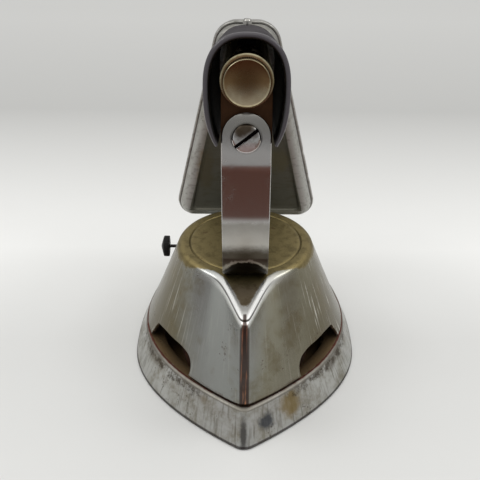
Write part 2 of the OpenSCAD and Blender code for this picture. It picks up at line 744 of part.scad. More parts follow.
// Handle saddle: round over the pump barrel, straight down to the strap screw between the handle's legs
module handle_saddle() {
  drop = handle_legs + 3;
  color([0.3, 0.2, 0.1]) handle_frame() difference() {
    union() {
      translate([0, 0, -saddle_t]) cylinder(d = saddle_w, h = saddle_t - 0.1, $fn = 96);
      translate([-saddle_w / 2, -drop, -saddle_t]) cube([saddle_w, drop, saddle_t - 0.1]);
    }
    translate([0, 0, -saddle_t - 1]) cylinder(r = barrel_r + run_gap, h = saddle_t + 2, $fn = 96);
    translate([0, -screw_drop, -saddle_t - 1])
      cylinder(r = strap_screw_d / 2 + run_gap, h = saddle_t + 2, $fn = round_fn);
  }
}

// Strap screw: low domed head with a wide slot, set at the angle the photograph shows
slot_turn = 38;

module strap_screw() {
  head_h = 2.6;
  head_r = strap_screw_head_d / 2;
  dome_r = (head_r * head_r + head_h * head_h) / (2 * head_h);
  color([0.68, 0.67, 0.65]) handle_frame() translate([0, -screw_drop, strap_t + 0.05]) difference() {
    union() {
      translate([0, 0, -saddle_t - strap_t + 1])
        cylinder(d = strap_screw_d, h = saddle_t + strap_t, $fn = round_fn);
      intersection() {
        cylinder(r = head_r, h = head_h, $fn = 96);
        translate([0, 0, head_h - dome_r]) sphere(r = dome_r, $fn = 96);
      }
    }
    rotate([0, 0, slot_turn]) translate([-head_r - 1, -0.6, head_h - 1.3])
      cube([2 * head_r + 2, 1.2, 3]);
  }
}

// Handle shell: moulded grip of inverted U section, open below and at its mouth, tapering back to the tank
function bend_point(a, up, low, ang) = [a * sign(cos(ang)) * pow(abs(cos(ang)), 2 / section_power),
  crown_shift + (sin(ang) > 0 ? up : low) * sign(sin(ang)) * pow(abs(sin(ang)), 2 / section_power)];
function leg_end(low) = asin(pow(handle_legs / low, section_power / 2));

arch_steps = 28;
// Loop around the shell's wall: outside from leg to leg, then back along the inside
function arch_loop(thin) =
  let (a0 = leg_end(leg_curve_out), a1 = leg_end(leg_curve_in), n = arch_steps,
    wall = handle_wall - thin)
  concat(
    [for (k = [0:n]) bend_point(handle_w / 2 - thin, handle_crown - thin, leg_curve_out,
      -a0 + (180 + 2 * a0) * k / n)],
    [for (k = [n:-1:0]) bend_point(handle_w / 2 - wall, handle_crown - wall, leg_curve_in,
      -a1 + (180 + 2 * a1) * k / n)]);

// z in the handle frame of the tank's face, for a point at height y in that frame and a gap square to the face
function end_z(y, gap) = (saddle_at - tank_at + y * sin(handle_slope) + gap / cos(tank_lean)
  - (saddle_z - tank_ref + y * cos(handle_slope)) * tan(tank_lean))
  / (cos(handle_slope) + sin(handle_slope) * tan(tank_lean));

function shell_ring(f, thin) =
  let (s = handle_taper + (1 - handle_taper) * f)
  [for (p = arch_loop(thin)) let (q = p * s, back = end_z(q[1], rest_gap)) [q[0], q[1],
    back + (handle_mouth - back) * f]];

module handle_shell() {
  color([0.22, 0.21, 0.23]) difference() {
    handle_frame() skin([shell_ring(0, 0), shell_ring(0.25, 0), shell_ring(0.5, 0), shell_ring(0.75, 0),
      shell_ring(0.985, 0), shell_ring(0.995, 0.35), shell_ring(1, 1)]);
    handle_frame() translate([0, 0, lug_z]) rotate([-90, 17, 0])
      cylinder(r = rear_screw_d / 2 + run_gap, h = 40, $fn = 12);
  }
}

// Lug: a small block on the tank's face inside the handle's tail, tapped for the handle's rear screw
rear_screw_d = 3;
lug_w = 8;
lug_z = end_z(0, rest_gap) + 8;
lug_low = barrel_r + 0.3;
lug_high = (crown_shift + handle_crown - handle_wall) * handle_taper - 0.8;

module handle_lug() {
  color([0.4, 0.36, 0.3]) difference() {
    handle_frame() translate([-lug_w / 2, lug_low, lug_z - 20]) cube([lug_w, lug_high - lug_low, 24]);
    tank_place() translate([-lug_w, 0, -40 + 0.05]) cube([2 * lug_w, 300, 40]);
    handle_frame() translate([0, lug_low - 1, lug_z]) rotate([-90, 0, 0])
      cylinder(r = rear_screw_d / 2 + run_gap, h = 20, $fn = 32);
  }
}

module handle_rear_screw() {
  top = (crown_shift + handle_crown) * handle_taper + 0.6;
  color([0.75, 0.74, 0.72]) handle_frame() translate([0, 0, lug_z]) rotate([-90, 0, 0]) difference() {
    union() {
      translate([0, 0, lug_low + 1]) cylinder(d = rear_screw_d, h = top - lug_low - 1, $fn = 32);
      translate([0, 0, top]) cylinder(d = 5, h = 1.4, $fn = 48);
      translate([0, 0, top + 1.4]) cylinder(d1 = 5, d2 = 3.4, h = 0.7, $fn = 48);
    }
    translate([-4, -0.4, top + 1.3]) cube([8, 0.8, 2]);
  }
}

// Pump barrel: brass tube from the saddle through the handle into the tank
module pump_barrel() {
  color([0.7, 0.56, 0.3]) handle_frame()
    tube(barrel_r, barrel_r - barrel_wall, barrel_end, barrel_start);
}

// Barrel guide: the plug in the barrel's mouth that the rod slides through
guide_len = 7;

module barrel_guide() {
  color([0.6, 0.5, 0.3]) handle_frame()
    tube(barrel_r - barrel_wall - 0.05, rod_d / 2 + run_gap, barrel_start - guide_len,
    barrel_start - 0.2);
}

// Pump rod with its knob outside, and the leather cup and its retainer inside the barrel
cup_r = barrel_r - barrel_wall - 0.1;
rod_end = barrel_start - guide_len - stroke - 16;
knob_back = strap_t + 0.6;

module pump_rod() {
  color([0.55, 0.52, 0.48]) handle_frame() translate([0, 0, rod_end])
    cylinder(d = rod_d, h = knob_back + 6 - rod_end, $fn = round_fn);
}

module pump_knob() {
  face_r = knob_face_d / 2;
  rim_r = knob_rim_d / 2;
  front = knob_back + knob_len;
  color([0.6, 0.52, 0.38]) handle_frame() rotate_extrude($fn = 96) polygon([
    [rod_d / 2 + 0.02, knob_back], [rim_r - 0.4, knob_back], [rim_r, knob_back + 0.4],
      [rim_r, knob_back + 2],
    [rim_r - 0.4, knob_back + 2.4], [face_r, knob_back + 2.9], [face_r, front - 0.5],
      [face_r - 0.5, front],
    [face_r - 1.1, front], [face_r - 1.5, front - 0.5], [0, front - 0.5], [0, knob_back + 6.05],
      [rod_d / 2 + 0.02, knob_back + 6.05]]);
}

module pump_cup() {
  color([0.35, 0.24, 0.15]) handle_frame() translate([0, 0, rod_end]) rotate_extrude($fn = round_fn)
    polygon([
    [rod_d / 2 + 0.02, 4], [cup_r, 4], [cup_r, -3], [cup_r - 1.4, -3], [cup_r - 1.4, 2.4],
      [rod_d / 2 + 0.02, 2.4]]);
}

module cup_retainer() {
  color([0.66, 0.55, 0.32]) handle_frame() translate([0, 0, rod_end]) difference() {
    union() {
      translate([0, 0, 4.05]) cylinder(r = cup_r - 0.6, h = 1.2, $fn = round_fn);
      translate([0, 0, 0.2]) cylinder(r = cup_r - 1.7, h = 2.15, $fn = round_fn);
    }
    translate([0, 0, -1]) cylinder(r = rod_d / 2 + 0.02, h = 8, $fn = round_fn);
  }
}

// Check valve: closes the barrel's end inside the tank
module check_valve() {
  color([0.68, 0.55, 0.3]) handle_frame() translate([0, 0, barrel_end]) difference() {
    union() {
      translate([0, 0, 0.2]) cylinder(r = barrel_r - barrel_wall - 0.05, h = 5, $fn = round_fn);
      translate([0, 0, -3]) cylinder(r = 4, h = 3.3, $fn = round_fn);
    }
    translate([0, 0, -4]) cylinder(r = 1, h = 12, $fn = 24);
  }
}

// Tank: two pressed pans of tall trapezoid outline, rounded at the edges, with a sunk panel on each face
flange_out = 0.8;
flange_t = 1.2;
band_t = 0.5;
pan_inset = flange_out + band_t + 0.05;
panel_bevel = 0.9;
corner_low = 8;
corner_high = 11.5;
corner_steps = 6;
side_tilt = atan((tank_w_low - tank_w_high) / 2 / (tank_high - tank_low));

// Points of the rounded corner at p between neighbours a and b
function corner(a, p, b, r) =
  let (u = (a - p) / norm(a - p), v = (b - p) / norm(b - p), h = acos(u * v) / 2,
    c = p + (u + v) / norm(u + v) * r / sin(h), s = p + u * r / tan(h) - c, start = atan2(s[1], s[0]))
  [for (k = [0:corner_steps]) c + r * [cos(start + (180 - 2 * h) * k / corner_steps),
    sin(start + (180 - 2 * h) * k / corner_steps)]];

// Trapezoid outline moved inwards by inset, as a ring at height z
function tank_ring(inset, z) =
  let (shift = inset / cos(side_tilt), slope = tan(side_tilt),
    low = tank_low + inset, high = tank_high - inset,
    half_low = tank_w_low / 2 - slope * inset - shift, half_high =
      tank_w_high / 2 + slope * inset - shift,
    q = [[half_low, low], [half_high, high], [-half_high, high], [-half_low, low]],
    r_low = max(corner_low - inset, 1.2), r_high = max(min(corner_high - inset, half_high - 0.2), 1.2))
  [for (k = [0:3])
    each [for (p = corner(q[(k + 3) % 4], q[k], q[(k + 1) % 4], k == 1 || k == 2 ? r_high : r_low))
    [p[0], p[1], z]]];

edge_levels = 4;
// Face of a pan of depth d and edge rounding r from its flange to its sunk panel, moved inwards by wall
function pan_face(wall, d, r) = concat(
  [tank_ring(pan_inset + wall, wall > 0 ? 0 : flange_t)],
  [for (k = [0:edge_levels]) let (a = 90 * k / edge_levels)
    tank_ring(pan_inset + r - (r - wall) * cos(a), d - r + (r - wall) * sin(a))],
  [tank_ring(pan_inset + r + 0.6, d - wall),
    tank_ring(pan_inset + r + 0.6 + panel_bevel, d - wall - panel_sink)]);

module tank_pan(d, r) {
  inside = pan_face(tank_wall, d, r);
  flange = band_t + 0.05;
  skin(concat([for (k = [len(inside) - 1:-1:0]) inside[k]],
    [tank_ring(flange, 0), tank_ring(flange, flange_t)], pan_face(0, d, r)));
}

module seam_place() {
  tank_place() translate([0, 0, -tank_front_d]) children();
}

module tank_front() {
  color([0.52, 0.51, 0.47]) difference() {
    seam_place() translate([0, 0, 0.05]) tank_pan(tank_front_d, tank_round);
    handle_frame() translate([0, 0, barrel_end - 20])
      cylinder(r = barrel_r + run_gap, h = axis_length, $fn = 96);
    lengthwise(0, pipe_z, pipe_d / 2 - 1, panel_at(pipe_z, 2), panel_at(pipe_z, -5));
  }
}

module tank_rear() {
  color([0.52, 0.51, 0.47]) difference() {
    seam_place() mirror([0, 0, 1]) translate([0, 0, 0.05]) tank_pan(tank_rear_d, tank_back_round);
    filler_frame(-8) cylinder(r = filler_bore_r + 1.2, h = 16, $fn = round_fn);
  }
}

// Seam band: folded strip that wraps both pans' flanges
module tank_plate(inset, half_t) {
  translate([0, 0, -half_t]) linear_extrude(2 * half_t)
    polygon([for (p = tank_ring(inset, 0)) [p[0], p[1]]]);
}

module tank_seam_band() {
  fold = flange_t + 0.1;
  color([0.5, 0.49, 0.46]) seam_place() difference() {
    tank_plate(0, fold + band_t);
    tank_plate(band_t, fold);
    tank_plate(pan_inset - 0.3, fold + 2 * band_t);
  }
}

// Filler: threaded neck, washer and knurled cap on the tank's rear panel
filler_bore_r = 6.4;
neck_len = 6.5;
cap_len = 6;

// Frame on the tank's rear panel, with its z out of the panel
module filler_frame(d) {
  tank_place() translate([0, filler_z, -tank_front_d - tank_rear_d + panel_sink - d])
    rotate([180, 0, 0]) children();
}

module filler_neck() {
  color([0.66, 0.53, 0.3]) filler_frame(0) difference() {
    union() {
      translate([0, 0, 0.1]) cylinder(r = filler_bore_r + 3, h = 1.4, $fn = round_fn);
      translate([0, 0, -2]) cylinder(r = filler_bore_r + 1.1, h = neck_len + 2, $fn = round_fn);
    }
    translate([0, 0, -4]) cylinder(r = filler_bore_r, h = neck_len + 8, $fn = round_fn);
  }
}

module filler_gasket() {
  color([0.25, 0.22, 0.2]) filler_frame(0)
    tube(filler_bore_r + 1.1, filler_bore_r - 1.2, neck_len + 0.1, neck_len + 1.3);
}

module filler_cap() {
  knurls = 30;
  r = filler_cap_d / 2;
  color([0.66, 0.65, 0.62]) filler_frame(2) difference() {
    union() {
      cylinder(r = r, h = cap_len, $fn = 96);
      translate([0, 0, cap_len]) cylinder(r1 = r - 0.2, r2 = r - 2.2, h = 1, $fn = 96);
      translate([-1.3, 2.6 - r, cap_len]) cube([2.6, 2 * r - 5.2, 4]);
    }
    translate([0, 0, -1])
      cylinder(r = filler_bore_r + 1.1 + run_gap, h = neck_len - 2 + 1 + 1.4, $fn = round_fn);
    for (k = [0:knurls - 1]) rotate([0, 0, k * 360 / knurls]) translate([r + 0.25, 0, 0.8])
      cylinder(r = 0.7, h = cap_len, $fn = 6);
  }
}

soleplate();
burner_ring();
burner_screws();
mixing_tube();
gas_jet();
jet_block();
generator_tube();
valve_body();
packing_nut();
valve_stem();
valve_knob();
fuel_pipe();
union_nut();
clamp_studs();
spacer_sleeves();
heat_shield();
insulating_pad();
cowl();
clamp_nuts();
front_strap();
rear_bracket();
handle_saddle();
strap_screw();
handle_shell();
handle_lug();
handle_rear_screw();
pump_barrel();
barrel_guide();
pump_rod();
pump_knob();
pump_cup();
cup_retainer();
check_valve();
tank_front();
tank_rear();
tank_seam_band();
filler_neck();
filler_gasket();
filler_cap();
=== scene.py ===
import json
import math

import bmesh
import bpy
import numpy as np
from mathutils import Matrix


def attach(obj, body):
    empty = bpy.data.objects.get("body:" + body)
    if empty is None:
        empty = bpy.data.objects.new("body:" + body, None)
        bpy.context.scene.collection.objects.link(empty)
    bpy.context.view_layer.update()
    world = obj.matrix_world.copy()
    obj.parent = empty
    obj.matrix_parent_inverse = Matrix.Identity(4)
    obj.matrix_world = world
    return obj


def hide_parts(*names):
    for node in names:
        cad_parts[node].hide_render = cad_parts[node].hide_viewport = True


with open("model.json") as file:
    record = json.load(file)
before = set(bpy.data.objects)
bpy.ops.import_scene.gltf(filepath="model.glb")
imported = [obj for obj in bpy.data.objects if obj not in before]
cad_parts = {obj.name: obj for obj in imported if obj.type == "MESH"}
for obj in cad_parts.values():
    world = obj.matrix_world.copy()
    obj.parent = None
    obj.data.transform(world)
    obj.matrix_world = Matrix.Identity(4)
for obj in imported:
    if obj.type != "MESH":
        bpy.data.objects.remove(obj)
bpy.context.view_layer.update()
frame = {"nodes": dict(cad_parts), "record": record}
nodes = frame["nodes"]
MM = 0.001

# Sizes of the iron in millimetres, as in part.scad. Places along it are distances behind the nose.
SOLE_LEN, SOLE_W, WIDE_AT, SOLE_H, SOLE_LEAN = 176.0, 105.6, 71.0, 15.0, 7.0
SOLE_TIP, LEAN_SHARE, POINT_SHARE = 2.0, 10 / 7, 1.22
RIM_LEAD = SOLE_LEAN * LEAN_SHARE - SOLE_TIP
HUB, TOP_R, BEAK_ANGLE, BEAK_REACH = 72.6, 31.0, 17.3, 19.9
COWL_LOW, COWL_TOP, COWL_WALL, SHOULDER_R = 15.8, 60.0, 1.2, 3.0
STUDS = (58.0, 85.0)
SLOPE = math.radians(16)
SADDLE_AT, SADDLE_Z = 41.9, 151.0
TANK_AT, LEAN = 125.0, math.radians(7)
TANK_REF = SADDLE_Z - (TANK_AT - SADDLE_AT) * math.tan(SLOPE)
STRAP_W, STRAP_T = 19.4, 1.6


def along(d):
    return d - SOLE_LEN / 2


# ---------------------------------------------------------------- camera
def place_camera():
    """The photograph's view: 32 degrees down from in front of the nose, turned half a degree about its own axis."""
    data = bpy.data.cameras.new("camera")
    camera = bpy.data.objects.new("camera", data)
    bpy.context.scene.collection.objects.link(camera)
    data.lens = 67.5
    data.sensor_width = 36.0
    data.shift_x = -5.5 / 480
    data.clip_start = 0.01
    camera.matrix_world = (Matrix.Translation((0.0, along(-279) * MM, 0.280))
                           @ Matrix.Rotation(math.radians(58), 4, "X") @ Matrix.Rotation(math.radians(0.5), 4, "Z"))
    bpy.context.scene.camera = camera


place_camera()


# ---------------------------------------------------------------- surfaces
def quads_of(rows, cols, closed=True):
    """Quads between neighbouring rows of a grid, each running from a point to the next one and up a row."""
    row = np.arange(rows - 1)[:, None]
    col = np.arange(cols if closed else cols - 1)[None, :]
    nxt = (col + 1) % cols
    low, low_next = row * cols + col, row * cols + nxt
    return np.stack([low, low_next, low_next + cols, low + cols], axis=-1).reshape(-1, 4)


def skin(rows, closed=True, ring=False, flip=False):
    """Points and quads over an array of rows of points; ring joins the last row to the first one."""
    rows = np.asarray(rows, dtype=float)
    if ring:
        rows = np.concatenate([rows, rows[:1]])
    quads = quads_of(rows.shape[0], rows.shape[1], closed)
    return rows.reshape(-1, 3), (quads[:, ::-1] if flip else quads)


def mesh_of(name, skins):
    """One mesh from several skins. Points that meet become one, and a quad that loses a corner there turns
    into a triangle, so poles and seams are closed."""
    points, quads, start = [], [], 0
    for pts, faces in skins:
        points.append(pts)
        quads.append(faces + start)
        start += len(pts)
    points, quads = np.concatenate(points), np.concatenate(quads)
    unique, index = np.unique(np.round(points, 4), axis=0, return_inverse=True)
    quads = index.reshape(-1)[quads]
    same = quads == np.roll(quads, -1, axis=1)
    doubled = same.sum(axis=1)
    triangles = quads[doubled == 1][~same[doubled == 1]].reshape(-1, 3)
    mesh = bpy.data.meshes.new(name)
    mesh.from_pydata((unique * MM).tolist(), [], quads[doubled == 0].tolist() + triangles.tolist())
    return mesh


def link(name, mesh):
    piece = bpy.data.objects.new(name, mesh)
    bpy.context.scene.collection.objects.link(piece)
    return piece


def finish_piece(piece, material, body, stands_for=(), sharp=38):
    """Smooth shading with edges kept above an angle, the finish, and the piece's place in the frame."""
    mesh = piece.data
    mesh.shade_smooth()
    mesh.set_sharp_from_angle(angle=math.radians(sharp))
    mesh.materials.clear()
    mesh.materials.append(material)
    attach(piece, body)
    if stands_for:
        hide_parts(*stands_for)
    return piece


def cut(piece, *cutters):
    """Takes the cutters' solids out of a piece, then throws the cutters away."""
    for cutter in cutters:
        tool = piece.modifiers.new("cut", "BOOLEAN")
        tool.object = cutter
        tool.solver = "EXACT"
    cut_mesh = bpy.data.meshes.new_from_object(piece.evaluated_get(bpy.context.evaluated_depsgraph_get()))
    piece.modifiers.clear()
    old = piece.data
    piece.data = cut_mesh
    cut_mesh.name = piece.name
    bpy.data.meshes.remove(old)
    for cutter in cutters:
        bpy.data.meshes.remove(cutter.data)


def circle_rows(profile, count, wave=None):
    """Rows of a turned shape about z: each [radius, z] of the profile carried round, with an added wave of the angle."""
    profile = np.asarray(profile, dtype=float)
    angle = np.linspace(0, 2 * math.pi, count, endpoint=False)
    radius = profile[:, :1] + (np.zeros((len(profile), count)) if wave is None else wave(angle, profile))
    return np.stack([radius * np.cos(angle), radius * np.sin(angle),
                     np.repeat(profile[:, 1:2], count, axis=1)], axis=-1)


def tipped(points, at, z, turn):
    """Points of a frame whose z leans: turned about X by the angle turn, then moved to the distance at and height z."""
    x, y, w = points[..., 0], points[..., 1], points[..., 2]
    c, s = math.cos(turn), math.sin(turn)
    return np.stack([x, along(at) + y * c - w * s, z + y * s + w * c], axis=-1)


def on_handle(points):
    return tipped(points, SADDLE_AT, SADDLE_Z, math.pi / 2 - SLOPE)


def on_tank(points):
    """Points of the tank's frame: y is a height up the front panel, z is out of it."""
    return tipped(points - np.array([0, TANK_REF, 0]), TANK_AT, TANK_REF, math.pi / 2 - LEAN)


def rounded(corners, radius, steps=6):
    """Outline through corners with each one replaced by an arc, given as a quadratic curve between two points
    that lie radius away from it."""
    corners = np.asarray(corners, dtype=float)
    before, after = np.roll(corners, 1, axis=0) - corners, np.roll(corners, -1, axis=0) - corners
    radius = np.broadcast_to(np.asarray(radius, dtype=float), (len(corners),))[:, None]
    start = corners + before / np.linalg.norm(before, axis=1, keepdims=True) * radius
    end = corners + after / np.linalg.norm(after, axis=1, keepdims=True) * radius
    t = np.linspace(0, 1, steps + 1)[None, :, None]
    curve = (1 - t) ** 2 * start[:, None] + 2 * t * (1 - t) * corners[:, None] + t ** 2 * end[:, None]
    return curve.reshape(-1, 2)


def prism(name, outline, low, high, place):
    """Solid cutter: an outline in the plane, run from low to high along the third axis and put in place."""
    flat = np.asarray(outline, dtype=float)
    middle = np.tile(flat.mean(axis=0), (len(flat), 1))
    levels = [(middle, low), (flat, low), (flat, high), (middle, high)]
    rows = np.stack([np.column_stack([ring, np.full(len(flat), level)]) for ring, level in levels])
    cutter = link(name, mesh_of(name, [skin(place(rows))]))
    shape = bmesh.new()
    shape.from_mesh(cutter.data)
    if shape.calc_volume(signed=True) < 0:
        bmesh.ops.reverse_faces(shape, faces=shape.faces)
    shape.to_mesh(cutter.data)
    shape.free()
    return cutter


def measured(mesh):
    """The mesh's points in millimetres, as an array."""
    flat = np.empty(len(mesh.vertices) * 3, dtype=np.float32)
    mesh.vertices.foreach_get("co", flat)
    return flat.reshape(-1, 3).astype(float) / MM


def mark(piece, name, values):
    """Keeps a number for each point, which the finish reads: how far the surface is inside, sunk or flat."""
    layer = piece.data.attributes.new(name, "FLOAT", "POINT")
    layer.data.foreach_set("value", np.asarray(values, dtype=np.float32))


def from_tipped(points, at, z, turn):
    """The reverse of tipped: points of the world seen in a leaning frame."""
    x, y, w = points[..., 0], points[..., 1] - along(at), points[..., 2] - z
    c, s = math.cos(turn), math.sin(turn)
    return np.stack([x, y * c + w * s, w * c - y * s], axis=-1)


def disc(radius, count=48):
    angle = np.linspace(0, 2 * math.pi, count, endpoint=False)
    return np.column_stack([radius * np.cos(angle), radius * np.sin(angle)])


# ---------------------------------------------------------------- outlines seen from above
def directions(count):
    """Angles round the hub from the nose, crowded at the nose and the tail: 90 (1 - cos t) up each side."""
    half = 90 * (1 - np.cos(np.linspace(0, math.pi, count + 1)))
    return np.concatenate([half, -half[-2:0:-1]])


PHI = directions(270)
TURN = np.abs(PHI)
SOFT = np.where(TURN < 90, (TURN ** 4 + 1.75 ** 4) ** 0.25, 180 - np.sqrt((180 - TURN) ** 2 + 1.7 ** 2))


def side_width(d, w, lead, trail, swell=0.0):
    """Half width of a boat shape: w less a power of the distance from its widest place, 2.1 ahead and 2.5 behind,
    and a bell-shaped swell just behind that place."""
    ahead = np.clip((WIDE_AT - d) / (WIDE_AT - lead), 0, None) ** 2.1
    behind = np.clip((d - WIDE_AT) / (trail - WIDE_AT), 0, None) ** 2.5
    return w * (1 - ahead - behind) + swell * np.exp(-((d - 80) / 19) ** 2)


def boat(w, lead, trail, swell=0.0):
    """Distance from the hub to the boat shape in every direction, found by halving."""
    angle = np.radians(SOFT)
    low, high = np.zeros_like(angle), np.full_like(angle, SOLE_LEN)
    for _ in range(26):
        mid = (low + high) / 2
        inside = mid * np.sin(angle) < side_width(HUB - mid * np.cos(angle), w, lead, trail, swell)
        low, high = np.where(inside, mid, low), np.where(inside, high, mid)
    return (low + high) / 2


def sole_radii(inset):
    return boat(SOLE_W / 2 - inset, -SOLE_TIP + inset * LEAN_SHARE, SOLE_LEN + SOLE_TIP - inset * LEAN_SHARE,
                1.9 * (inset / SOLE_LEAN) ** 2)


def rim_radii(inset):
    return boat(SOLE_W / 2 - SOLE_LEAN - inset, RIM_LEAD + inset * POINT_SHARE,
                SOLE_LEN - RIM_LEAD - inset * POINT_SHARE, 1.9 * max(0.0, 1 - inset / 6))


def foot_radii(inset):
    """The cowl's lower outline: 1 mm inside the rim, and nearly at its edge where the iron is widest."""
    return boat(SOLE_W / 2 - SOLE_LEAN - 1 - inset, RIM_LEAD + (1 + inset) * POINT_SHARE,
                SOLE_LEN - RIM_LEAD - (1 + inset) * POINT_SHARE, 2.4)


def top_radii(inset):
    """The cowl's top: a disc blended with a pointed beak by the eighth root of the sum of eighth powers."""
    beak = (BEAK_REACH - inset) / np.sin(np.radians(np.minimum(BEAK_ANGLE + SOFT, 90)))
    return (beak ** 8 + (TOP_R - inset) ** 8) ** (1 / 8)


def from_hub(points):
    """Distance from the hub's axis and turn away from the nose, in degrees, of points in the world."""
    x, y = points[:, 0], points[:, 1] - along(HUB)
    return np.hypot(x, y), np.degrees(np.arctan2(np.abs(x), -y))


def at_turn(radii, turn):
    """Radii given for each direction of the outline, read at other turns."""
    half = slice(0, len(PHI) // 2 + 1)
    return np.interp(turn, TURN[half], radii[half])


def ring_at(radii, z):
    """Ring of points at those distances from the hub, at height z."""
    angle = np.radians(PHI)
    return np.stack([radii * np.sin(angle), along(HUB) - radii * np.cos(angle), np.full_like(radii, z)], axis=-1)


def hand_worked(rows, depth, wave, seed):
    """Moves points by a few slow waves across the form, as beaten and ground metal has: the sum of four sines
    with seeded directions, no higher than depth."""
    rng = np.random.default_rng(seed)
    moved = rows.copy()
    for _ in range(4):
        heading = rng.normal(size=3)
        heading /= np.linalg.norm(heading)
        phase = rows @ heading * (2 * math.pi / (wave * rng.uniform(0.7, 1.5))) + rng.uniform(0, 6.28)
        moved[..., :2] *= (1 + depth / 4 * np.sin(phase) / 40)[..., None]
    return moved


# ---------------------------------------------------------------- soleplate
def soleplate_rows():
    """Section carried round the boat shape: the flat face, a rounded lower edge, the leaning side, a rounded rim,
    the flat rim, the chamber's wall and its floor."""
    rows = [ring_at(sole_radii(0.8) * f, 0) for f in (0, 0.3, 0.6, 0.85, 0.97, 1)]
    rows += [ring_at(sole_radii(0.8 * (1 - math.sin(a))), 0.8 * (1 - math.cos(a)))
             for a in np.radians([20, 40, 60, 75, 90])]
    rows += [ring_at(sole_radii(6.2 * f), 0.8 + 13.4 * f) for f in np.linspace(0.04, 1, 16)]
    rows += [ring_at(sole_radii(s), z) for s, z in ((6.42, 14.48), (6.72, 14.72), (7.06, 14.88), (7.45, 14.97))]
    rows += [ring_at(rim_radii(s), 15) for s in (0.7, 0.95, 1.25, 2.5, 4.5, 6.1)]
    rows += [ring_at(rim_radii(s), z) for s, z in ((6.35, 14.93), (6.55, 14.7), (7.0, 13.2), (7.6, 10.8), (7.9, 9.4),
                                                   (8.3, 9.05), (9.0, 9))]
    rows += [ring_at(rim_radii(9) * f, 9) for f in (0.8, 0.6, 0.4, 0.2, 0)]
    return np.stack(rows)


def boss_rows():
    """Raised boss round a stud: a fillet from the chamber floor, a side and a rounded top."""
    return circle_rows([(8.2, 8.9), (7.2, 9.2), (6.4, 9.9), (6, 11), (6, 12.5), (5.8, 12.85), (5.4, 13), (2.6, 13),
                        (2.6, 8.9)], 48)


# ---------------------------------------------------------------- cowl
def flare(low):
    """Share of the lower outline left at that share of the height: straight at the front, steeper at the tail."""
    power = 1 + 0.5 * np.sin(np.radians(np.clip(TURN - 90, 0, 90))) ** 2
    return low ** power


def cowl_side(inset, levels):
    base, crown = foot_radii(inset), top_radii(inset)
    high = COWL_TOP - inset - SHOULDER_R * (1 - math.sin(math.radians(18)))
    return [ring_at(crown + (base - crown) * flare(1 - level), COWL_LOW + (high - COWL_LOW) * level)
            for level in levels]


def cowl_shoulder(inset, angles):
    return [ring_at(top_radii(inset + SHOULDER_R * (math.cos(math.radians(18)) - math.cos(a))),
                    COWL_TOP - inset - SHOULDER_R * (1 - math.sin(a))) for a in np.radians(angles)]


def cowl_top_rows():
    """Flat top from the shoulder in to the middle, turning from the beaked outline to circles, with the ring groove
    pressed in as half a cosine wave."""
    edge = top_radii(SHOULDER_R * math.cos(math.radians(18)))
    rows = [ring_at(edge + (26.2 - edge) * f, COWL_TOP) for f in (0.15, 0.4, 0.7, 1)]
    groove = np.linspace(-1, 1, 9)
    rows += [ring_at(np.full_like(edge, 25.4 - 0.45 * g), COWL_TOP - 0.35 * (0.5 + 0.5 * math.cos(math.pi * g)))
             for g in groove]
    rows += [ring_at(np.full_like(edge, 25.4 * f), COWL_TOP) for f in (0.93, 0.75, 0.5, 0.25, 0)]
    return rows


def cowl_rows():
    """The whole shell: the inside from the middle down, the rounded lower edge, the outside up to the middle."""
    inner = cowl_shoulder(COWL_WALL, (90, 72, 54, 36)) + cowl_side(COWL_WALL, np.linspace(1, 0.012, 20))
    middle = [ring_at(top_radii(COWL_WALL + 3) * f, COWL_TOP - COWL_WALL) for f in (0, 0.5)]
    edge = [ring_at(foot_radii(COWL_WALL / 2 + COWL_WALL / 2 * math.cos(a)), COWL_LOW + 0.5 - 0.5 * math.sin(a))
            for a in np.radians([30, 60, 90, 120, 150])]
    outer = cowl_side(0, np.linspace(0.012, 1, 44)) + cowl_shoulder(0, np.linspace(22, 90, 14))
    return np.stack(middle + inner + edge + outer + cowl_top_rows())


VENT = [(29.2, 12.0), (29.3, 17.2), (31.2, 21.2), (34.0, 24.0), (38.5, 25.4), (50.5, 25.4), (57.0, 24.2), (59.6, 16.4),
        (59.6, 12.0)]


def cowl_openings():
    """Cutters: a vent on each side, the tail window, the valve stem's hole and the two stud holes."""
    vent = rounded([(along(d), z) for d, z in VENT], [0.3, 1.8, 1.8, 1.8, 2.0, 2.6, 0.7, 0.5, 0.3])
    sideways = lambda rows: rows[..., [2, 0, 1]]
    upright = lambda d: (lambda rows: rows + np.array([0, along(d), 0]))
    window = rounded([(-8, 28.8), (8, 28.8), (8, 56.5), (-8, 56.5)], 2.2)
    backward = lambda rows: rows[..., [0, 2, 1]]
    return [prism("cut_vent_right", vent, 8, 58, sideways), prism("cut_vent_left", vent, -58, -8, sideways),
            prism("cut_window", window, along(99), along(160), backward),
            prism("cut_stem", disc(3.2) + np.array([along(104), 36.8]), -60, -12, sideways),
            prism("cut_stud_front", disc(2.8), 55, 66, upright(STUDS[0])),
            prism("cut_stud_rear", disc(2.8), 55, 66, upright(STUDS[1]))]


# ---------------------------------------------------------------- handle shell
def bend(a, up, low, angle):
    """Inverted U section: a superellipse of exponent 2.4 with its own reach above and below the widest line."""
    c, s = np.cos(angle), np.sin(angle)
    reach = np.where(s > 0, up, low)
    return np.stack([a * np.sign(c) * np.abs(c) ** (2 / 2.4), -2 + reach * np.sign(s) * np.abs(s) ** (2 / 2.4)], axis=-1)


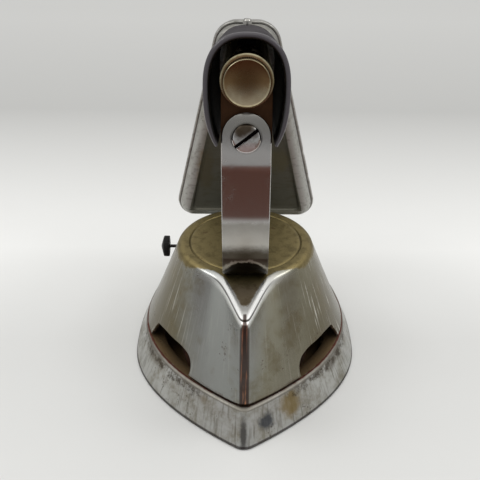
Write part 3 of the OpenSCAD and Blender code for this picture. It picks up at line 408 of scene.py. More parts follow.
def arch(thin):
    """Loop round the handle's wall, drawn in by thin: outside over the crown, round the leg's end, back inside and
    round the other end."""
    wall = 2.5 - thin
    end = -25 + 1.15
    legs = lambda low: np.arcsin(((-2 - end) / low) ** 1.2)
    out_end, in_end = legs(28.5), legs(30)
    outside = bend(16.5 - thin, 20 - thin, 28.5, np.linspace(-out_end, math.pi + out_end, 121))
    inside = bend(16.5 - wall, 20 - wall, 30, np.linspace(math.pi + in_end, -in_end, 121))
    sweep = np.linspace(0, math.pi, 9)[1:-1]

    def leg_end(first, last):
        middle, half = (first + last) / 2, (last - first) / 2
        return middle - half * np.cos(sweep)[:, None] + np.array([0, -abs(half[0])]) * np.sin(sweep)[:, None]

    return np.concatenate([outside, leg_end(outside[-1], inside[0]), inside, leg_end(inside[-1], outside[0])])


def tank_face(y, gap):
    """Distance along the handle's axis to the leaning tank, at height y in the handle's frame."""
    t = math.tan(LEAN)
    return ((SADDLE_AT - TANK_AT + y * math.sin(SLOPE) + gap / math.cos(LEAN)
             - (SADDLE_Z - TANK_REF + y * math.cos(SLOPE)) * t) / (math.cos(SLOPE) + math.sin(SLOPE) * t))


def shell_rows():
    """The wall's loop carried from the tank to the mouth, growing from 0.92 to 1, with a rounded lip at the mouth."""
    rows = []
    lip = [(1 - 1.15 / 100 * (1 - math.sin(a)), 1.15 * (1 - math.cos(a))) for a in np.radians([0, 20, 40, 60, 75, 90])]
    for f, thin in [(f, 0) for f in np.linspace(0, 0.985, 26)] + lip:
        loop = arch(thin) * (0.92 + 0.08 * f)
        back = tank_face(loop[:, 1], 0.3)
        rows.append(np.column_stack([loop, back + (8 - back) * f]))
    return rows


def handle_shell():
    rows = shell_rows()
    # both ends close along the wall's middle line: each point meets the one across the wall
    middle, tail = [(row + np.roll(row[::-1], -7, axis=0)) / 2 for row in (rows[-1], rows[0])]
    rows = [tail] + rows + [middle]
    return link("grip_shell", mesh_of("grip_shell", [skin(on_handle(np.stack(rows)))]))


# ---------------------------------------------------------------- front strap
def strap_path():
    """Middle line of the strap in the lengthwise plane: foot, curl, leaning shank, upright, and the raised end square
    to the handle; resampled evenly, with closer points towards both round ends."""
    foot = COWL_TOP + 0.3 + STRAP_T / 2
    curl_r = 9 + STRAP_T / 2
    screw = np.array([SADDLE_AT - STRAP_T / 2 * math.cos(SLOPE) - 22 * math.sin(SLOPE),
                      SADDLE_Z + STRAP_T / 2 * math.sin(SLOPE) - 22 * math.cos(SLOPE)])
    slant = np.array([math.sin(SLOPE), math.cos(SLOPE)])
    high_bend, low_bend = screw - 12.4 * slant, np.array([33.0, 94.6])

    def bent(corner, before, after, reach, n=26):
        """Soft bend at a corner: a quadratic curve between the points reach before and reach after it."""
        t = np.linspace(0, 1, n)[:, None]
        start = corner + (before - corner) / np.linalg.norm(before - corner) * reach
        end = corner + (after - corner) / np.linalg.norm(after - corner) * reach
        return (1 - t) ** 2 * start + 2 * t * (1 - t) * corner + t ** 2 * end

    def arc(c, r, a0, a1, n=24):
        a = np.radians(np.linspace(a0, a1, n))
        return np.column_stack([c[0] + r * np.cos(a), c[1] + r * np.sin(a)])

    curl = arc((48, foot + curl_r), curl_r, -90, -192, 60)
    line = np.concatenate([[[STUDS[0] + STRAP_W / 2, foot]], curl, bent(low_bend, curl[-1], high_bend, 2.6),
                           bent(high_bend, low_bend, screw, 2.4), [screw + STRAP_W / 2 * slant]])
    run = np.concatenate([[0], np.cumsum(np.linalg.norm(np.diff(line, axis=0), axis=1))])
    near = STRAP_W / 2 * (1 - np.cos(np.linspace(0, math.pi / 2, 22)))
    at = np.concatenate([near, np.linspace(STRAP_W / 2, run[-1] - STRAP_W / 2, 170)[1:-1], run[-1] - near[::-1]])
    return np.column_stack([np.interp(at, run, line[:, k]) for k in (0, 1)]), at, run[-1]


def strap_rows():
    """Flat section with rounded edges carried along the path; at both ends the half width follows a half circle."""
    path, at, total = strap_path()
    heading = np.gradient(path, axis=0)
    heading /= np.linalg.norm(heading, axis=1, keepdims=True)
    square = np.column_stack([-heading[:, 1], heading[:, 0]])
    r = STRAP_W / 2
    left = np.clip(np.minimum(at, total - at), 0, r)
    half = np.sqrt(np.clip(r ** 2 - (r - left) ** 2, 0, None))
    edge = np.minimum(0.45, half)
    quarter = np.radians([0, 22.5, 45, 67.5, 90])
    across, off = [], []
    for quadrant in range(4):
        a = quarter + quadrant * math.pi / 2
        sx, sn = (1, -1, -1, 1)[quadrant], (1, 1, -1, -1)[quadrant]
        across.append(sx * (half - edge)[:, None] + edge[:, None] * np.cos(a))
        off.append(sn * (STRAP_T / 2 - 0.45) + 0.45 * np.sin(a) * np.ones_like(edge)[:, None])
    across, off = np.concatenate(across, axis=1), np.concatenate(off, axis=1)
    return np.stack([across, along(path[:, :1] + square[:, :1] * off), path[:, 1:] + square[:, 1:] * off], axis=-1)


# ---------------------------------------------------------------- tank
TANK_LOW, TANK_HIGH, TANK_W_LOW, TANK_W_HIGH = 45.6, 144.5, 73.0, 28.1
PAN_INSET, PANEL_SINK, TANK_WALL, PANEL_DROP = 1.35, 0.8, 0.9, 2.2
TILT = math.atan((TANK_W_LOW - TANK_W_HIGH) / 2 / (TANK_HIGH - TANK_LOW))


def tank_ring(inset, z, steps=18, side=14):
    """The tank's trapezoid outline moved inwards, its corners round, as a ring of points at depth z."""
    shift, slope = inset / math.cos(TILT), math.tan(TILT)
    low, high = TANK_LOW + inset, TANK_HIGH - inset
    half_low, half_high = TANK_W_LOW / 2 - slope * inset - shift, TANK_W_HIGH / 2 + slope * inset - shift
    q = np.array([[half_low, low], [half_high, high], [-half_high, high], [-half_low, low]])
    radii = [max(8 - inset, 2.2), max(min(11.5 - inset, half_high - 0.2), 2.2)]
    arcs = []
    for k in range(4):
        a, p, b = q[k - 1], q[k], q[(k + 1) % 4]
        r = radii[k in (1, 2)]
        u, v = (a - p) / np.linalg.norm(a - p), (b - p) / np.linalg.norm(b - p)
        h = math.acos(u @ v) / 2
        c = p + (u + v) / np.linalg.norm(u + v) * r / math.sin(h)
        s = p + u * r / math.tan(h) - c
        angle = math.atan2(s[1], s[0]) + np.linspace(0, math.pi - 2 * h, steps)
        arcs.append(c + r * np.column_stack([np.cos(angle), np.sin(angle)]))
    t = np.linspace(0, 1, side + 2)[1:-1, None]
    outline = np.concatenate([np.concatenate([arcs[k], arcs[k][-1] + t * (arcs[(k + 1) % 4][0] - arcs[k][-1])])
                              for k in range(4)])
    return np.column_stack([outline, np.full(len(outline), z)])


def pan_rows(depth, r, out):
    """A pan's section carried round, inside and then outside: panel, soft step to the rim, quarter round, wall and
    flange. The panel is slightly hollow. out is 1 for the front pan and -1 for the rear one."""
    centre = np.array([0, 84.0, 0])

    def face(wall):
        rows = [tank_ring(PAN_INSET + wall, 1.6 if wall == 0 else 0.05)]
        rows += [tank_ring(PAN_INSET + r - (r - wall) * math.cos(a), depth + 0.05 - r + (r - wall) * math.sin(a))
                 for a in np.radians(np.linspace(0, 90, 15))]
        rim = PAN_INSET + r + 0.6
        rows += [tank_ring(rim + 0.9 * t, depth + 0.05 - wall - PANEL_SINK * t * t * (3 - 2 * t))
                 for t in (0, 0.15, 0.35, 0.6, 0.85, 1)]
        # the sunk panel reaches lower than the rim is wide, so the rim is narrower along the tank's bottom
        for k, row in enumerate(rows):
            row[:, 1] -= PANEL_DROP * min(1.0, k / 15) ** 2 * np.clip((80 - row[:, 1]) / 26, 0, 1)
        panel = rows[-1]
        for f in (0.94, 0.82, 0.66, 0.48, 0.28, 0.1, 0):
            shrunk = centre + (panel - centre) * [f, f, 1]
            shrunk[:, 2] -= 0.35 * (1 - f * f) ** 2
            rows.append(shrunk)
        return rows

    flange = [tank_ring(0.55, 0.05), tank_ring(0.55, 1.25), tank_ring(1.2, 1.25)]
    rows = np.stack(face(TANK_WALL)[::-1] + flange + face(0))
    if out < 0:
        rows = rows[:, ::-1] * [1, 1, -1]
    return on_tank(rows + [0, 0, -8])


def band_rows():
    """The rolled seam: a strip bent round both flanges, with rounded outer corners and a few small nicks."""
    section = [(1.05, 1.8), (0.75, 1.82), (0.42, 1.74), (0.16, 1.5), (0.03, 1.15), (0, 0.6), (0, -0.6), (0.03, -1.15),
               (0.16, -1.5), (0.42, -1.74), (0.75, -1.82), (1.05, -1.8), (1.05, -1.3), (0.5, -1.3), (0.5, 1.3), (1.05, 1.3)]
    rows = np.stack([tank_ring(inset, z, steps=30, side=90) for inset, z in section])
    outer = np.array([0.3, 0.6, 0.9, 1, 1, 1, 1, 1, 1, 0.9, 0.6, 0.3, 0, 0, 0, 0])[:, None]
    for x, h, wide, deep in ((-19.6, 97, 1.3, 0.5), (-23.2, 91.5, 0.9, 0.42), (-33.4, 63, 1.2, 0.4), (28.5, 79, 1.4, 0.35),
                             (-35.6, 50.2, 1.5, 0.55), (31.5, 66, 1.0, 0.3), (-8, 144.5, 1.2, 0.25)):
        away = (rows[..., 0] - x) ** 2 + (rows[..., 1] - h) ** 2
        push = deep * np.exp(-away / wide ** 2) * outer
        toward = rows[..., :2] - np.array([0, 88.0])
        rows[..., :2] -= toward / np.linalg.norm(toward, axis=-1, keepdims=True) * push[..., None]
    return on_tank(rows + [0, 0, -8])


# ---------------------------------------------------------------- pump knob, screws
def knob_skins():
    """Turned knob: a knurled rim at the back, a straight neck and a face hollowed like a shallow dish."""
    back, front, rim, face = STRAP_T + 0.6, STRAP_T + 0.6 + 11, 10.3, 8.8
    dish = [(r, front - 0.1 - 1.1 * (1 - (r / 8.4) ** 2)) for r in np.linspace(8.4, 0, 18)]
    profile = [(0, 8.3), (2.02, 8.3), (2.02, back), (rim - 0.4, back), (rim - 0.1, back + 0.12), (rim, back + 0.4), (rim, back + 1.2),
               (rim, back + 2), (rim - 0.1, back + 2.28), (rim - 0.4, back + 2.4), (face + 0.5, back + 2.5),
               (face + 0.1, back + 2.75), (face, back + 3.2), (face, back + 5), (face, front - 1.5), (face, front - 0.6),
               (face - 0.03, front - 0.2), (face - 0.12, front - 0.06), (face - 0.24, front), (face - 0.34, front - 0.03)]

    def knurl(angle, at):
        teeth = np.abs(((angle * 72 / (2 * math.pi)) % 1) * 2 - 1)
        depth = np.interp(at[:, 1], [back + 0.1, back + 0.5, back + 1.9, back + 2.3], [0, 0.3, 0.3, 0])
        on_rim = at[:, 0] > rim - 0.3
        body = np.interp(at[:, 1], [back + 3, back + 3.4, front - 0.7, front - 0.1], [0, 0.2, 0.2, 0])
        on_body = (at[:, 0] > face - 0.2) & (at[:, 0] < rim - 0.5)
        return -(depth * on_rim + body * on_body)[:, None] * teeth[None, :]

    return [skin(on_handle(circle_rows(profile + dish, 576, knurl)), flip=False)]


def dome_height(r, head_r, head_h):
    """Height of a screw's dome: a rounded edge, then a cap of a sphere that rises 0.5 mm to the middle."""
    r = np.clip(r, 0, head_r)
    ball = (head_r ** 2 + 0.5 ** 2) / 1.0
    cap = head_h - ball + np.sqrt(ball ** 2 - r ** 2)
    edge = np.clip((r - head_r + 0.9) / 0.9, 0, 1)
    return cap - 0.9 * (1 - np.sqrt(1 - edge ** 2))


def screw_rows(head_r, head_h, shank_r, shank):
    """Turned screw: the shank, a flat under the head, an upright edge and the dome up to the middle."""
    r = head_r * np.sin(np.linspace(math.pi / 2, 0, 34))
    top = np.column_stack([r, dome_height(r, head_r, head_h)])
    return circle_rows(np.concatenate([[(0, -shank), (shank_r, -shank), (shank_r, 0), (head_r - 0.12, 0),
                                        (head_r, 0.12)], top]), 160)


def slot_cutter(name, length, width, low, turn, place):
    """Slot with a rounded floor: a stadium outline standing on its bottom, turned about the screw's axis."""
    c, s = math.cos(turn), math.sin(turn)
    outline = [(-width / 2, low + 0.25), (-width / 2 + 0.25, low), (width / 2 - 0.25, low), (width / 2, low + 0.25),
               (width / 2, low + 5), (-width / 2, low + 5)]
    lay = lambda rows: place(np.stack([rows[..., 2] * c - rows[..., 0] * s, rows[..., 2] * s + rows[..., 0] * c,
                                       rows[..., 1]], axis=-1))
    return prism(name, outline, -length / 2, length / 2, lay)


# ---------------------------------------------------------------- shader groups
def lay(tree, kind, inputs=None, **settings):
    """Lays one node: settings are its properties, inputs are its sockets, each a value or a socket to link from."""
    node = tree.nodes.new(kind)
    for key, value in settings.items():
        setattr(node, key, value)
    for key, value in (inputs or {}).items():
        if isinstance(value, bpy.types.NodeSocket):
            tree.links.new(value, node.inputs[key])
        else:
            node.inputs[key].default_value = value
    return node


def math_of(tree, what, a, b=0.0, clamp=False):
    return lay(tree, "ShaderNodeMath", {0: a, 1: b}, operation=what, use_clamp=clamp).outputs[0]


def ramp_of(tree, value, low, high):
    """0 below low and 1 above high, with an eased step between."""
    return lay(tree, "ShaderNodeMapRange", {"Value": value, "From Min": low, "From Max": high},
               interpolation_type="SMOOTHSTEP").outputs["Result"]


def mix_of(tree, share, first, second):
    node = lay(tree, "ShaderNodeMix", data_type="RGBA")
    for index, value in ((0, share), (6, first), (7, second)):
        if isinstance(value, bpy.types.NodeSocket):
            tree.links.new(value, node.inputs[index])
        else:
            node.inputs[index].default_value = value
    return node.outputs[2]


def new_group(name, inputs, outputs):
    """Empty shader group with those sockets; returns its tree, its input node and its output node."""
    tree = bpy.data.node_groups.new(name, "ShaderNodeTree")
    for label, kind, value in inputs:
        socket = tree.interface.new_socket(label, in_out="INPUT", socket_type=kind)
        if value is not None:
            socket.default_value = value
    for label, kind in outputs:
        tree.interface.new_socket(label, in_out="OUTPUT", socket_type=kind)
    return tree, tree.nodes.new("NodeGroupInput"), tree.nodes.new("NodeGroupOutput")


FLOAT, VECTOR, COLOR = "NodeSocketFloat", "NodeSocketVector", "NodeSocketColor"


def build_blotches():
    """Cloudy tarnish: two sizes of noise added, cut between Low and High."""
    tree, gi, go = new_group("blotches", [("Vector", VECTOR, None), ("Scale", FLOAT, 60.0), ("Low", FLOAT, 0.45),
                                          ("High", FLOAT, 0.7)], [("Mask", FLOAT), ("Cloud", FLOAT)])
    big = lay(tree, "ShaderNodeTexNoise", {"Vector": gi.outputs["Vector"], "Scale": gi.outputs["Scale"], "Detail": 6.0,
                                           "Roughness": 0.62, "Distortion": 0.4})
    finer = math_of(tree, "MULTIPLY", gi.outputs["Scale"], 5.3)
    small = lay(tree, "ShaderNodeTexNoise", {"Vector": gi.outputs["Vector"], "Scale": finer, "Detail": 4.0,
                                             "Roughness": 0.6})
    both = math_of(tree, "ADD", math_of(tree, "MULTIPLY", big.outputs["Fac"], 0.74),
                   math_of(tree, "MULTIPLY", small.outputs["Fac"], 0.26))
    tree.links.new(ramp_of(tree, both, gi.outputs["Low"], gi.outputs["High"]), go.inputs["Mask"])
    tree.links.new(both, go.inputs["Cloud"])
    return tree


def build_pits():
    """Corrosion pits: round cells of a Voronoi pattern, kept only where a cloud is dense."""
    tree, gi, go = new_group("pits", [("Vector", VECTOR, None), ("Scale", FLOAT, 900.0), ("Amount", FLOAT, 0.5)],
                             [("Mask", FLOAT), ("Height", FLOAT)])
    wobble = lay(tree, "ShaderNodeTexNoise", {"Vector": gi.outputs["Vector"], "Scale": 1400.0, "Detail": 2.0})
    shaken = lay(tree, "ShaderNodeVectorMath", {0: wobble.outputs["Color"], 1: (0.0007, 0.0007, 0.0007)},
                 operation="MULTIPLY")
    place = lay(tree, "ShaderNodeVectorMath", {0: gi.outputs["Vector"], 1: shaken.outputs[0]}, operation="ADD")
    cells = lay(tree, "ShaderNodeTexVoronoi", {"Vector": place.outputs[0], "Scale": gi.outputs["Scale"]})
    cloud = lay(tree, "ShaderNodeTexNoise", {"Vector": gi.outputs["Vector"], "Scale": 95.0, "Detail": 4.0})
    limit = math_of(tree, "SUBTRACT", 1.0, gi.outputs["Amount"])
    dense = ramp_of(tree, cloud.outputs["Fac"], limit, math_of(tree, "ADD", limit, 0.16))
    size = math_of(tree, "MULTIPLY", dense, 0.42)
    round_pit = math_of(tree, "SUBTRACT", 1.0, ramp_of(tree, cells.outputs["Distance"],
                                                       math_of(tree, "MULTIPLY", size, 0.45), size), clamp=True)
    mask = math_of(tree, "MULTIPLY", round_pit, dense)
    tree.links.new(mask, go.inputs["Mask"])
    tree.links.new(math_of(tree, "SUBTRACT", 1.0, mask), go.inputs["Height"])
    return tree


def build_streaks():
    """Rub marks: noise drawn out along one axis by the Stretch of each axis, cut to thin lines."""
    tree, gi, go = new_group("streaks", [("Vector", VECTOR, None), ("Stretch", VECTOR, (1500.0, 1500.0, 60.0)),
                                         ("Low", FLOAT, 0.56), ("High", FLOAT, 0.72)], [("Mask", FLOAT), ("Line", FLOAT)])
    drawn = lay(tree, "ShaderNodeVectorMath", {0: gi.outputs["Vector"], 1: gi.outputs["Stretch"]}, operation="MULTIPLY")
    lines = lay(tree, "ShaderNodeTexNoise", {"Vector": drawn.outputs[0], "Scale": 1.0, "Detail": 3.0, "Roughness": 0.55})
    tree.links.new(ramp_of(tree, lines.outputs["Fac"], gi.outputs["Low"], gi.outputs["High"]), go.inputs["Mask"])
    tree.links.new(lines.outputs["Fac"], go.inputs["Line"])
    return tree


def build_spot():
    """One stain at a place: the distance from Centre over Size, roughened by noise, turned to a soft mask."""
    tree, gi, go = new_group("spot", [("Vector", VECTOR, None), ("Centre", VECTOR, (0, 0, 0)),
                                      ("Size", VECTOR, (0.01, 0.01, 0.01))], [("Mask", FLOAT)])
    away = lay(tree, "ShaderNodeVectorMath", {0: gi.outputs["Vector"], 1: gi.outputs["Centre"]}, operation="SUBTRACT")
    share = lay(tree, "ShaderNodeVectorMath", {0: away.outputs[0], 1: gi.outputs["Size"]}, operation="DIVIDE")
    length = lay(tree, "ShaderNodeVectorMath", {0: share.outputs[0]}, operation="LENGTH")
    rough = lay(tree, "ShaderNodeTexNoise", {"Vector": gi.outputs["Vector"], "Scale": 230.0, "Detail": 4.0,
                                             "Roughness": 0.6})
    ragged = math_of(tree, "ADD", length.outputs["Value"], math_of(tree, "MULTIPLY", rough.outputs["Fac"], 1.1))
    tree.links.new(math_of(tree, "SUBTRACT", 1.0, ramp_of(tree, ragged, 0.95, 1.6)), go.inputs["Mask"])
    return tree


GROUPS = {"blotches": build_blotches(), "pits": build_pits(), "streaks": build_streaks(), "spot": build_spot()}


def effect(tree, name, vector, **values):
    node = tree.nodes.new("ShaderNodeGroup")
    node.node_tree = GROUPS[name]
    tree.links.new(vector, node.inputs["Vector"])
    for label, value in values.items():
        node.inputs[label].default_value = value
    return node.outputs


def rgb(r, g, b):
    """Linear colour from the 0 to 255 values of a screen."""
    return tuple(((v / 255 + 0.055) / 1.055) ** 2.4 if v > 10 else v / 3294.6 for v in (r, g, b)) + (1.0,)


def spot_at(tree, vector, x, d, z, sx, sy, sz):
    return effect(tree, "spot", vector, Centre=(x * MM, along(d) * MM, z * MM), Size=(sx * MM, sy * MM, sz * MM))["Mask"]


def around_hub(tree, place):
    """Coordinates that run round the hub and up, so brush lines drawn along the second follow a leaning side."""
    part = lay(tree, "ShaderNodeSeparateXYZ", {"Vector": place}).outputs
    turn = math_of(tree, "ARCTAN2", part["X"], math_of(tree, "SUBTRACT", along(HUB) * MM, part["Y"]))
    return lay(tree, "ShaderNodeCombineXYZ", {"X": math_of(tree, "MULTIPLY", turn, 0.05), "Z": part["Z"]}).outputs[0]


def blank(name):
    """New material; returns it with its tree, its Principled shader and the object's coordinates."""
    material = bpy.data.materials.new(name)
    material.use_nodes = True
    tree = material.node_tree
    shader = tree.nodes["Principled BSDF"]
    place = tree.nodes.new("ShaderNodeTexCoord").outputs["Object"]
    return material, tree, shader, place


def set_bump(tree, shader, height, distance, strength=0.5):
    bump = lay(tree, "ShaderNodeBump", {"Height": height, "Distance": distance, "Strength": strength})
    tree.links.new(bump.outputs["Normal"], shader.inputs["Normal"])


def marked(tree, name):
    return lay(tree, "ShaderNodeAttribute", attribute_name=name).outputs["Fac"]


def worn_metal(name, clean, tarnish, dirt, gloss=(0.18, 0.45), cloud=(70, 0.42, 0.62), pits=(900, 0.4, 0.6),
               rubs=((1500, 1500, 90), 0.12), strokes=None, stains_and_painted_light=(), marks=(), rings=(), touch=None, follow=None,
               metallic=1.0, bump=0.00012):
    """Plated or bare metal: the clean colour clouded with tarnish, rub marks, stains and painted light at given places
    as (place and size, colour, share), marked areas, some of them painted shade, as (mark, colour, share, raggedness),
    dark rings round a screw as (centre, axis, radius, width, colour, share), and pits filled with dirt. Strokes are
    darker brush lines as (stretch, low, high, colour, share), follow gives the coordinates that lines run along and
    touch adds what one piece alone has, such as painted reflections and shade. Tarnish, stains, painted light and pits
    are rougher than the clean metal."""
    material, tree, shader, place = blank(name)
    clouds = effect(tree, "blotches", place, Scale=float(cloud[0]), Low=cloud[1], High=cloud[2])
    colour = mix_of(tree, clouds["Mask"], clean, tarnish)
    drawn = follow(tree, place) if follow else place
    lines = effect(tree, "streaks", drawn, Stretch=tuple(float(v) for v in rubs[0]))
    colour = mix_of(tree, math_of(tree, "MULTIPLY", lines["Mask"], rubs[1] * 3), colour, clean)
    rough = math_of(tree, "MULTIPLY", clouds["Mask"], 0.6)
    if strokes:
        brushed = effect(tree, "streaks", drawn, Stretch=strokes[0], Low=strokes[1], High=strokes[2])
        colour = mix_of(tree, math_of(tree, "MULTIPLY", brushed["Mask"], strokes[4]), colour, strokes[3])
    # Stains, and spots of painted light, at given places.
    for where, tint, share in stains_and_painted_light:
        mask = math_of(tree, "MULTIPLY", spot_at(tree, place, *where), share)
        colour = mix_of(tree, mask, colour, tint)
        rough = math_of(tree, "MAXIMUM", rough, mask)
    if marks:
        grit = math_of(tree, "SUBTRACT", effect(tree, "blotches", place, Scale=330.0)["Cloud"], 0.5)
    for label, tint, share, ragged in marks:
        torn = math_of(tree, "ADD", marked(tree, label), math_of(tree, "MULTIPLY", grit, ragged))
        mask = math_of(tree, "MULTIPLY", ramp_of(tree, torn, 0.3, 0.7), share)
        colour = mix_of(tree, mask, colour, tint)
        rough = math_of(tree, "MAXIMUM", rough, math_of(tree, "MULTIPLY", mask, 0.7))
    for centre, axis, radius, width, tint, share in rings:
        off = lay(tree, "ShaderNodeVectorMath", {0: place, 1: centre}, operation="SUBTRACT").outputs[0]
        cross = lay(tree, "ShaderNodeVectorMath", {0: off, 1: axis}, operation="CROSS_PRODUCT").outputs[0]
        away = lay(tree, "ShaderNodeVectorMath", {0: cross}, operation="LENGTH").outputs["Value"]
        gap = math_of(tree, "ABSOLUTE", math_of(tree, "SUBTRACT", away, radius))
        mask = math_of(tree, "MULTIPLY", math_of(tree, "SUBTRACT", 1.0, ramp_of(tree, gap, 0.0, width)), share)
        colour = mix_of(tree, mask, colour, tint)
    if touch:
        colour, rough = touch(tree, place, colour, rough)
    holes = effect(tree, "pits", place, Scale=float(pits[0]), Amount=pits[1])
    colour = mix_of(tree, math_of(tree, "MULTIPLY", holes["Mask"], pits[2]), colour, dirt)
    tree.links.new(colour, shader.inputs["Base Color"])
    rough = math_of(tree, "ADD", rough, math_of(tree, "MULTIPLY", holes["Mask"], 0.4))
    rough = math_of(tree, "ADD", rough, math_of(tree, "MULTIPLY", math_of(tree, "SUBTRACT", clouds["Cloud"], 0.5), 0.8))
    spread = lay(tree, "ShaderNodeMapRange", {"Value": rough, "To Min": gloss[0], "To Max": gloss[1]})
    tree.links.new(spread.outputs["Result"], shader.inputs["Roughness"])
    shader.inputs["Metallic"].default_value = metallic
    height = math_of(tree, "ADD", math_of(tree, "MULTIPLY", holes["Height"], 0.7),
                     math_of(tree, "MULTIPLY", lines["Line"], rubs[1]))
    height = math_of(tree, "ADD", height, math_of(tree, "MULTIPLY", clouds["Cloud"], 0.25))
    set_bump(tree, shader, height, bump)
    return material


def moulding(name, main, mottled, dust, gloss, grain=900, cloud=(45, 0.4, 0.7), bump=0.00003, shine=0.5, inside=None):
    """Hard moulded material or lacquer: two shades clouded together, fine grain, a little dust in the lows, and where
    the piece marks them a lip lightened as a painted highlight under a glossy coat and an inside painted dark as shade."""
    material, tree, shader, place = blank(name)
    clouds = effect(tree, "blotches", place, Scale=float(cloud[0]), Low=cloud[1], High=cloud[2])
    colour = mix_of(tree, clouds["Mask"], main, mottled)
    fine = lay(tree, "ShaderNodeTexNoise", {"Vector": place, "Scale": float(grain), "Detail": 3.0})
    specks = ramp_of(tree, fine.outputs["Fac"], 0.62, 0.78)
    colour = mix_of(tree, math_of(tree, "MULTIPLY", specks, 0.35), colour, dust)
    spread = lay(tree, "ShaderNodeMapRange", {"Value": clouds["Cloud"], "From Min": 0.3, "From Max": 0.7,
                                              "To Min": gloss[0], "To Max": gloss[1]}).outputs["Result"]
    if inside:
        # Painted highlight: the lip's colour lightened, under a glossy coat.
        lip = marked(tree, "lip")
        colour = mix_of(tree, math_of(tree, "MULTIPLY", lip, 0.5), colour, rgb(84, 80, 84))
        spread = math_of(tree, "SUBTRACT", spread, math_of(tree, "MULTIPLY", lip, 0.22))
        tree.links.new(math_of(tree, "MULTIPLY", lip, 0.7), shader.inputs["Coat Weight"])
        shader.inputs["Coat Roughness"].default_value = 0.12
        # Painted shade: the marked inside takes the given dark colour and turns rough.
        hidden = marked(tree, "inside")
        colour = mix_of(tree, hidden, colour, inside)
        spread = math_of(tree, "MAXIMUM", spread, math_of(tree, "MULTIPLY", hidden, 0.8))
    tree.links.new(colour, shader.inputs["Base Color"])
    tree.links.new(spread, shader.inputs["Roughness"])
    shader.inputs["Specular IOR Level"].default_value = shine
    height = math_of(tree, "ADD", math_of(tree, "MULTIPLY", fine.outputs["Fac"], 0.5), clouds["Cloud"])
    set_bump(tree, shader, height, bump)
    return material


def paint_strap_reflections_and_shade(tree, place, colour, rough):
    """Painted reflections and shade on the strap, by height: a greyer eye, painted light bands under it and below the
    middle bend, a brown curl painted as its dark reflection, and at its foot a bowed painted shadow edged by a painted
    light line."""
    part = lay(tree, "ShaderNodeSeparateXYZ", {"Vector": place}).outputs
    cloud = effect(tree, "blotches", place, Scale=180.0)["Cloud"]
    height = math_of(tree, "ADD", part["Z"], math_of(tree, "MULTIPLY", math_of(tree, "SUBTRACT", cloud, 0.5), 0.006))
    # Painted reflections: light bands low on the shank and below the middle bend, and a greyer eye above them.
    light = math_of(tree, "SUBTRACT", 1.0, ramp_of(tree, height, 0.0915, 0.0945))
    shank = mix_of(tree, ramp_of(tree, height, 0.080, 0.094), rgb(204, 203, 197), rgb(166, 165, 160))
    colour = mix_of(tree, light, colour, shank)
    middle = math_of(tree, "MULTIPLY", ramp_of(tree, height, 0.1165, 0.1215), math_of(tree, "SUBTRACT", 1.0, ramp_of(
        tree, height, 0.124, 0.131)))
    colour = mix_of(tree, math_of(tree, "MULTIPLY", middle, 0.9), colour, rgb(214, 213, 210))
    colour = mix_of(tree, math_of(tree, "MULTIPLY", ramp_of(tree, height, 0.129, 0.134), 0.8), colour, rgb(158, 156, 150))
    # Painted reflection and shade: the curl below the shank turned brown.
    ahead = math_of(tree, "SUBTRACT", 1.0, ramp_of(tree, part["Y"], along(45) * MM, along(48) * MM))
    curl = math_of(tree, "MULTIPLY", ahead, math_of(tree, "SUBTRACT", 1.0, ramp_of(tree, height, 0.0755, 0.082)))
    colour = mix_of(tree, math_of(tree, "MULTIPLY", curl, 0.94), colour, rgb(74, 66, 53))
    # Painted shadow at the curl's foot: a bowed near-black patch edged by a painted light line.
    wide = math_of(tree, "POWER", math_of(tree, "MULTIPLY", math_of(tree, "ABSOLUTE", part["X"]), 1 / 0.0098), 2.0)
    tall = math_of(tree, "POWER", math_of(tree, "ABSOLUTE", math_of(
        tree, "MULTIPLY", math_of(tree, "SUBTRACT", height, 0.0645), 1 / 0.0066)), 2.0)
    bow = math_of(tree, "ADD", wide, tall)
    line = math_of(tree, "MULTIPLY", ramp_of(tree, bow, 0.9, 1.05), math_of(tree, "SUBTRACT", 1.0, ramp_of(
        tree, bow, 1.15, 1.5)))
    colour = mix_of(tree, math_of(tree, "MULTIPLY", math_of(tree, "MULTIPLY", line, ahead), 0.75), colour,
                    rgb(176, 172, 160))
    painted_curl_shadow = math_of(tree, "MULTIPLY", ahead, math_of(tree, "SUBTRACT", 1.0, ramp_of(tree, bow, 0.78, 1.0)))
    colour = mix_of(tree, painted_curl_shadow, colour, rgb(26, 22, 17))
    return colour, math_of(tree, "MAXIMUM", rough, math_of(tree, "MULTIPLY", light, 0.75))


def sole_finish():
    """Worn nickel on cast iron: mottled side with upright rubs, pitted, brown and yellow stains, a lower edge darkened
    with dirt and a painted contact shadow, and bare rusty iron on the rim inside the cowl and in the burner's chamber."""
    return worn_metal("sole_plating", rgb(182, 182, 178), rgb(140, 136, 124), rgb(70, 58, 44), gloss=(0.28, 0.58),
                      cloud=(85, 0.4, 0.66), pits=(700, 0.5, 0.6), rubs=((1200, 1200, 90), 0.2),
                      strokes=((1000.0, 1000.0, 90.0), 0.52, 0.66, rgb(112, 108, 98), 0.52), follow=around_hub,
                      stains_and_painted_light=[((20, 19.5, 9, 7, 9, 7), rgb(128, 108, 62), 0.75),
                              ((10, 9, 7.5, 5, 5, 4.5), rgb(62, 65, 72), 0.85),
                              ((45, 40, 13, 9, 16, 5), rgb(70, 58, 38), 0.75), ((-45, 40, 13, 9, 16, 5), rgb(78, 66, 46), 0.6),
                              ((-20, 14, 12, 8, 8, 3), rgb(116, 98, 66), 0.5), ((33, 20, 13, 7, 8, 3), rgb(100, 82, 52), 0.5),
                              ((-0.2, 1, 7, 1.9, 9, 14), rgb(76, 74, 72), 0.9)],
                      marks=[("bare", rgb(122, 100, 70), 0.96, 0.5), ("worn", rgb(66, 57, 46), 0.85, 1.9), ("crest", rgb(122, 118, 110), 0.85, 1.0),
                             # "low": dirt and a painted contact shadow along the lower edge.
                             ("rim", rgb(88, 44, 32), 0.92, 1.3), ("low", rgb(52, 46, 46), 0.8, 0.4)],
                      bump=0.00022)


